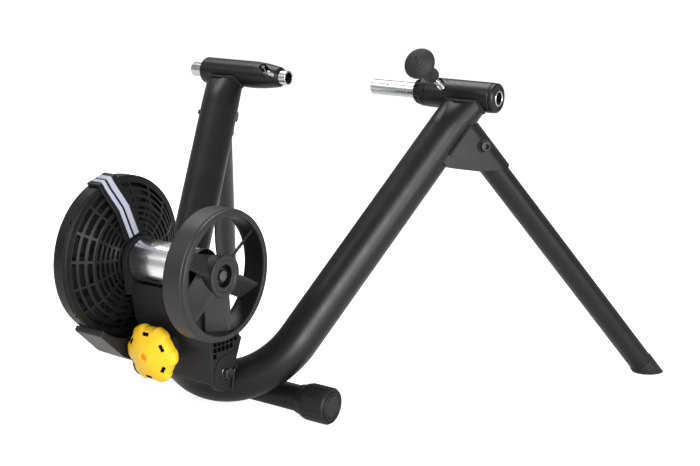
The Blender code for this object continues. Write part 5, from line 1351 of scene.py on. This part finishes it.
def knob_body(lobes):
    """Domed form of the knob with its lobes and the bore for the rod."""
    depths = ((0.0, 0.0), (4.0, 3.2), (13.0, 3.8), (16.5, 3.8), (20.5, 1.8), (27.2, 0.0), (40.0, 0.0))
    foot, top = KNOB_START, KNOB_END

    def lobe(along, turn):
        place = along - foot
        depth = 0.0
        for (a, d0), (b, d1) in zip(depths[:-1], depths[1:]):
            if a <= place <= b:
                depth = d0 + (d1 - d0) * smooth_share((place - a) / (b - a))
        return knob_dip(turn, depth, lobes)

    profile = round_corners((
        (foot, 13.0), (foot + 3.4, 31.2), (foot + 7.0, 34.4), (foot + 13.0, 36.0), (foot + 16.6, 35.2),
        (foot + 20.5, 31.0), (top - 5.4, 24.0), (top - 2.4, 15.0), (top - 0.6, 7.6), (top, 5.2),
    ), 3.0, False, 5)
    profile = [(foot, 0.0)] + profile + [(top - 0.5, 4.6), (top - 1.6, 3.2), (top - 1.9, 0.0)]
    knob = lathe("lobed_knob", profile, ANCHOR_AT, ROD_DIR, 240, start=ALONG_X, shape_by=lobe)
    return cut(knob, cylinder("bore", 4.3, foot - 2.0, foot + 21.4, ANCHOR_AT, ROD_DIR, 40, ALONG_X))


def build_knob(sizes):
    """Domed knob with lobes, slots near its rim and a dimple in the middle."""
    lobes = sizes.knob_lobes
    knob = knob_body(lobes)
    axis = Vector(ROD_DIR).normalized()
    side = Vector((1.0, 0.0, 0.0))
    other = axis.cross(side)
    turn = math.pi / lobes
    out = side * math.cos(turn) + other * math.sin(turn)
    tangent = other * math.cos(turn) - side * math.sin(turn)
    near, far, half = 24.4, 28.2, 4.4
    floor = KNOB_START + 12.0
    outline = round_corners(((near, -half), (far, -half), (far, half), (near, half)), 0.8, True)
    slot = prism("slot", outline, Vector((0, 0, 0)), out, tangent, axis, floor, KNOB_START + 40.0)
    run_tree(knob, ring_tree(True), {
        "Piece": slot, "Count": lobes, "Centre": ANCHOR_AT, "Axis": axis,
        "Material": MATERIALS["yellow_plastic"]})
    drop(slot)

    # Painted shade: the walls and floors of the knob's slots are coloured dark brown.
    def in_slot(place, normal):
        away = place - ANCHOR_AT
        share = math.atan2(away.dot(other), away.dot(side)) * lobes / (2.0 * math.pi) - 0.5
        offset = (share - round(share)) * 2.0 * math.pi / lobes
        radius = math.hypot(away.dot(other), away.dot(side))
        in_length = near - 0.1 < radius * math.cos(offset) < far + 0.1
        in_width = abs(radius * math.sin(offset)) < half + 0.1
        return in_length and in_width and (abs(normal.dot(axis)) < 0.3 or away.dot(axis) < floor + 0.5)

    mark_painted_shade(knob, in_slot)
    finish(knob, "knob", "yellow_plastic", ["adjuster_knob"], angle=38.0)
    top = KNOB_END
    dimple = lathe("knob_button", (
        (top - 2.1, 0.0), (top - 2.1, 4.4), (top - 0.9, 4.3), (top - 0.5, 3.4), (top - 1.1, 1.6),
        (top - 1.2, 0.0),
    ), ANCHOR_AT, ROD_DIR, 48, fillet=0.3)
    finish(dimple, "knob", "yellow_plastic", material="knob_dimple")


# Stage

def seen_white(tree, mirror):
    """Give 1 to camera and glass rays, a share to mirror rays and 0 to the rays that light the object."""
    rays = add_node(tree, "ShaderNodeLightPath")
    dim = add_node(tree, "ShaderNodeMath", {1: mirror}, operation="MULTIPLY")
    first = add_node(tree, "ShaderNodeMath", operation="MAXIMUM")
    second = add_node(tree, "ShaderNodeMath", operation="MAXIMUM")
    wire(tree, (rays.outputs["Is Glossy Ray"], dim.inputs[0]),
         (rays.outputs["Is Camera Ray"], first.inputs[0]), (dim.outputs[0], first.inputs[1]),
         (first.outputs[0], second.inputs[0]), (rays.outputs["Is Transmission Ray"], second.inputs[1]))
    return second.outputs[0]


def build_floor(stage):
    """Wide pale floor that keeps the object's shadow."""
    size = 60.0
    verts = [Vector((x, y, 0.0)) for x, y in ((-size, -size), (size, -size), (size, size), (-size, size))]
    floor = shape("pale_floor", verts, [(0, 1, 2, 3)])
    if floor.data.polygons[0].normal.z < 0.0:
        floor.data.flip_normals()
    material = bpy.data.materials.new("pale_floor")
    material.use_nodes = True
    tree = material.node_tree
    shader = tree.nodes["Principled BSDF"]
    shader.inputs["Base Color"].default_value = tuple(stage.floor_colour) + (1.0,)
    shader.inputs["Roughness"].default_value = 0.9
    shader.inputs["Specular IOR Level"].default_value = 0.0
    level = add_node(tree, "ShaderNodeMath", {1: stage.floor_glow}, operation="MULTIPLY")
    glow = add_node(tree, "ShaderNodeEmission")
    both = add_node(tree, "ShaderNodeAddShader")
    wire(tree, (seen_white(tree, stage.mirror), level.inputs[0]), (level.outputs[0], glow.inputs["Strength"]),
         (shader.outputs[0], both.inputs[0]), (glow.outputs[0], both.inputs[1]),
         (both.outputs[0], tree.nodes["Material Output"].inputs["Surface"]))
    floor.data.materials.append(material)


def build_world(stage):
    """Surroundings that the camera sees as white and that light the object less."""
    world = bpy.data.worlds.new("studio")
    world.use_nodes = True
    bpy.context.scene.world = world
    tree = world.node_tree
    background = tree.nodes["Background"]
    background.inputs["Color"].default_value = (1.0, 1.0, 1.0, 1.0)
    blend = add_node(tree, "ShaderNodeMapRange", {"To Min": stage.ambient, "To Max": 1.0})
    wire(tree, (seen_white(tree, stage.mirror), blend.inputs["Value"]),
         (blend.outputs[0], background.inputs["Strength"]))


def build_lamp(name, place, size, power):
    """Soft rectangular lamp that points at the object."""
    data = bpy.data.lights.new(name, "AREA")
    data.shape = "RECTANGLE"
    data.size = size[0]
    data.size_y = size[1]
    data.energy = power
    lamp = bpy.data.objects.new(name, data)
    bpy.context.scene.collection.objects.link(lamp)
    lamp.location = place
    lamp.rotation_euler = (Vector(LAMP_TARGET) - Vector(place)).to_track_quat("-Z", "Y").to_euler()


def build_camera():
    """Camera at the photograph's view."""
    azimuth, down, roll = (math.radians(angle) for angle in CAMERA_ANGLES)
    level = Vector((math.cos(azimuth), math.sin(azimuth), 0.0))
    ahead = Vector((-math.sin(azimuth), math.cos(azimuth), 0.0))
    view = ahead * math.cos(down) - Vector((0, 0, math.sin(down)))
    up = ahead * math.sin(down) + Vector((0, 0, math.cos(down)))
    right = level * math.cos(roll) + up * math.sin(roll)
    top = up * math.cos(roll) - level * math.sin(roll)
    data = bpy.data.cameras.new("photo_view")
    data.lens = CAMERA_LENS
    data.sensor_width = 36.0
    data.clip_start = 0.05
    data.clip_end = 300.0
    camera = bpy.data.objects.new("photo_view", data)
    bpy.context.scene.collection.objects.link(camera)
    place = Matrix((right, top, -view)).transposed().to_4x4()
    place.translation = Vector((CAMERA_AT[0], CAMERA_AT[1] + SHIFT_Y * MM, CAMERA_AT[2]))
    camera.matrix_world = place
    bpy.context.scene.camera = camera


# What a user can change

def count_setting(name, description, default, low, high):
    """Setting for a number of repeats."""
    return IntProperty(name=name, description=description, default=default, min=low, max=high)


def length_setting(name, description, default):
    """Setting for a length in metres."""
    return FloatProperty(name=name, description=description, default=default, unit="LENGTH")


def light_setting(name, description, default):
    """Setting for a strength of light."""
    return FloatProperty(name=name, description=description, default=default, min=0.0)


def colour_setting(name, description, default):
    """Setting for a colour."""
    return FloatVectorProperty(name=name, description=description, default=default, subtype="COLOR",
                               min=0.0, max=1.0)


class TrainerSizes(bpy.types.PropertyGroup):
    """Counts and sizes of the fine detail."""
    tube_sides: count_setting("Tube sides", "Sides of round pieces", 96, 16, 256)
    weld_width: length_setting("Weld width", "Width of a weld bead", 0.0036)
    weld_pitch: length_setting("Weld ripple", "Distance between ripples", 0.0016)
    foot_flats: count_setting("Foot flats", "Flats round a crossbar end", 16, 3, 48)
    nose_flutes: count_setting("Nose flutes", "Grooves in the nose ring", 14, 3, 48)
    grip_rings: count_setting("Grip rings", "Fine rings on the grip", 7, 0, 24)
    thread_pitch: length_setting("Thread pitch", "Pitch of the stem's thread", 0.00125)
    pocket_pitch: length_setting("Pocket pitch", "Grid of the cast pockets", 0.0074)
    fly_blades: count_setting("Flywheel blades", "Blades between hub and rim", 6, 2, 16)
    grille_sectors: count_setting("Grille sectors", "Sectors between ribs", 16, 4, 48)
    grille_rib: length_setting("Grille rib", "Width of a radial rib", 0.0030)
    knob_lobes: count_setting("Knob lobes", "Lobes round the knob", 6, 3, 12)


class TrainerColours(bpy.types.PropertyGroup):
    """Colours of the finishes."""
    frame_paint: colour_setting("Frame paint", "Satin paint of tubes and brackets", (0.007, 0.0066, 0.007))
    casting: colour_setting("Casting", "Painted casting of the unit", (0.014, 0.014, 0.0145))
    plastic: colour_setting("Drum plastic", "Moulded drum and grille", (0.006, 0.006, 0.0064))
    chin: colour_setting("Chin plastic", "Moulding under the drum", (0.015, 0.015, 0.0155))
    rubber: colour_setting("Foot rubber", "Rubber ends and feet", (0.011, 0.011, 0.012))
    grip: colour_setting("Grip rubber", "Lever grip", (0.02, 0.0195, 0.0205))
    flywheel: colour_setting("Flywheel paint", "Satin paint of the flywheel", (0.019, 0.019, 0.019))
    plate: colour_setting("Zinc plate", "Plated shafts, bearings and rods", (0.58, 0.605, 0.59))
    roller: colour_setting("Roller steel", "Polished roller", (0.93, 0.94, 0.94))
    stripe: colour_setting("Stripes", "Pale stripes on the band", (0.37, 0.38, 0.46))
    knob: colour_setting("Knob", "Moulded knob", (0.88, 0.53, 0.018))


class TrainerStage(bpy.types.PropertyGroup):
    """Light levels and floor."""
    key_power: light_setting("Key lamp", "Power of the main lamp", 95.0)
    fill_power: light_setting("Fill lamp", "Power of the second lamp", 24.0)
    side_power: light_setting("Side lamp", "Power of the lamp at the side", 24.0)
    top_power: light_setting("Top lamp", "Power of the lamp overhead", 46.0)
    ambient: light_setting("Surroundings", "Light from all sides", 0.26)
    mirror: light_setting("Mirror light", "Share of the white that mirror rays see", 0.16)
    floor_colour: colour_setting("Floor", "Floor colour", (0.86, 0.86, 0.86))
    floor_glow: light_setting("Floor white", "White added where the camera sees the floor", 0.8)


# Operators

class TRAINER_OT_stage(bpy.types.Operator):
    """Set up the camera, the lamps, the surroundings and the floor"""
    bl_idname = "trainer.stage"
    bl_label = "Stage"

    def execute(self, context):
        stage = context.scene.trainer_stage
        build_camera()
        build_floor(stage)
        build_world(stage)
        for name, power, place, size in LAMPS:
            build_lamp(name, place, size, getattr(stage, power))
        return {"FINISHED"}


class TRAINER_OT_finishes(bpy.types.Operator):
    """Make the finishes and paint the inner pieces that keep their measured shape"""
    bl_idname = "trainer.finishes"
    bl_label = "Finishes"

    def execute(self, context):
        make_finishes(context.scene.trainer_colours)
        paint = {
            "magnet_plate": "rotor_dark", "brake_rotor": "rotor_dark", "control_board": "board_green",
            "power_inlet": "black_plastic", "bearing_near": "plated_steel", "bearing_far": "plated_steel",
            "roller_spindle": "plated_steel", "anchor_pin": "plated_steel", "adjuster_rod": "plated_steel",
            "knob_washer": "plated_steel",
        }
        for node, finish_name in paint.items():
            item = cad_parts[node]
            for place in item.material_slots:
                place.material = MATERIALS[finish_name]
        return {"FINISHED"}


class TRAINER_OT_frame_tube(bpy.types.Operator):
    """Build the bent tube and its welds"""
    bl_idname = "trainer.frame_tube"
    bl_label = "Frame tube"

    def execute(self, context):
        build_frame_tube(context.scene.trainer_sizes)
        return {"FINISHED"}


class TRAINER_OT_crossbar(bpy.types.Operator):
    """Build the crossbar and its rubber ends"""
    bl_idname = "trainer.crossbar"
    bl_label = "Crossbar"

    def execute(self, context):
        build_crossbar(context.scene.trainer_sizes)
        return {"FINISHED"}


class TRAINER_OT_clamps(bpy.types.Operator):
    """Build the clamp housings, the nose ring, the shafts and the pin"""
    bl_idname = "trainer.clamps"
    bl_label = "Clamps"

    def execute(self, context):
        build_housings(context.scene.trainer_sizes)
        build_shafts(context.scene.trainer_sizes)
        return {"FINISHED"}


class TRAINER_OT_lever(bpy.types.Operator):
    """Build the lever's stem and grip"""
    bl_idname = "trainer.lever"
    bl_label = "Lever"

    def execute(self, context):
        build_lever(context.scene.trainer_sizes)
        return {"FINISHED"}


class TRAINER_OT_legs(bpy.types.Operator):
    """Build the folding legs, brackets, bolts and feet"""
    bl_idname = "trainer.legs"
    bl_label = "Legs"

    def execute(self, context):
        build_legs(context.scene.trainer_sizes)
        return {"FINISHED"}


class TRAINER_OT_unit_body(bpy.types.Operator):
    """Build the cast body of the tilting unit and what holds it"""
    bl_idname = "trainer.unit_body"
    bl_label = "Unit body"

    def execute(self, context):
        build_body(context.scene.trainer_sizes)
        return {"FINISHED"}


class TRAINER_OT_roller(bpy.types.Operator):
    """Build the polished roller"""
    bl_idname = "trainer.roller"
    bl_label = "Roller"

    def execute(self, context):
        build_roller()
        return {"FINISHED"}


class TRAINER_OT_flywheel(bpy.types.Operator):
    """Build the flywheel with its slanting blades"""
    bl_idname = "trainer.flywheel"
    bl_label = "Flywheel"

    def execute(self, context):
        build_flywheel(context.scene.trainer_sizes)
        return {"FINISHED"}


class TRAINER_OT_drum(bpy.types.Operator):
    """Build the drum, its slotted dome, the band and the chin"""
    bl_idname = "trainer.drum"
    bl_label = "Drum"

    def execute(self, context):
        build_drum(context.scene.trainer_sizes)
        return {"FINISHED"}


class TRAINER_OT_knob(bpy.types.Operator):
    """Build the lobed knob of the adjuster"""
    bl_idname = "trainer.knob"
    bl_label = "Knob"

    def execute(self, context):
        build_knob(context.scene.trainer_sizes)
        return {"FINISHED"}


STEPS = ("stage", "finishes", "frame_tube", "crossbar", "clamps", "lever", "legs", "unit_body", "roller",
         "flywheel", "drum", "knob")


class TRAINER_PT_panel(bpy.types.Panel):
    """List of the trainer's pieces and settings"""
    bl_idname = "TRAINER_PT_panel"
    bl_label = "Bike trainer"
    bl_space_type = "VIEW_3D"
    bl_region_type = "UI"
    bl_category = "Trainer"

    def draw(self, context):
        layout = self.layout
        for step in STEPS:
            layout.operator("trainer." + step)
        scene = context.scene
        for group in (scene.trainer_sizes, scene.trainer_colours, scene.trainer_stage):
            box_area = layout.box()
            for name in group.__annotations__:
                box_area.prop(group, name)


CLASSES = (
    TrainerSizes, TrainerColours, TrainerStage, TRAINER_OT_stage, TRAINER_OT_finishes,
    TRAINER_OT_frame_tube, TRAINER_OT_crossbar, TRAINER_OT_clamps, TRAINER_OT_lever, TRAINER_OT_legs,
    TRAINER_OT_unit_body, TRAINER_OT_roller, TRAINER_OT_flywheel, TRAINER_OT_drum, TRAINER_OT_knob,
    TRAINER_PT_panel,
)


def register():
    """Register the classes and the settings."""
    for item in CLASSES:
        bpy.utils.register_class(item)
    bpy.types.Scene.trainer_sizes = PointerProperty(type=TrainerSizes)
    bpy.types.Scene.trainer_colours = PointerProperty(type=TrainerColours)
    bpy.types.Scene.trainer_stage = PointerProperty(type=TrainerStage)


def unregister():
    """Remove the settings and the classes."""
    del bpy.types.Scene.trainer_stage
    del bpy.types.Scene.trainer_colours
    del bpy.types.Scene.trainer_sizes
    for item in reversed(CLASSES):
        bpy.utils.unregister_class(item)


def main():
    """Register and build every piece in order."""
    register()
    for step in STEPS:
        getattr(bpy.ops.trainer, step)()
    bpy.context.scene.view_settings.view_transform = "Standard"


if __name__ == "__main__":
    main()
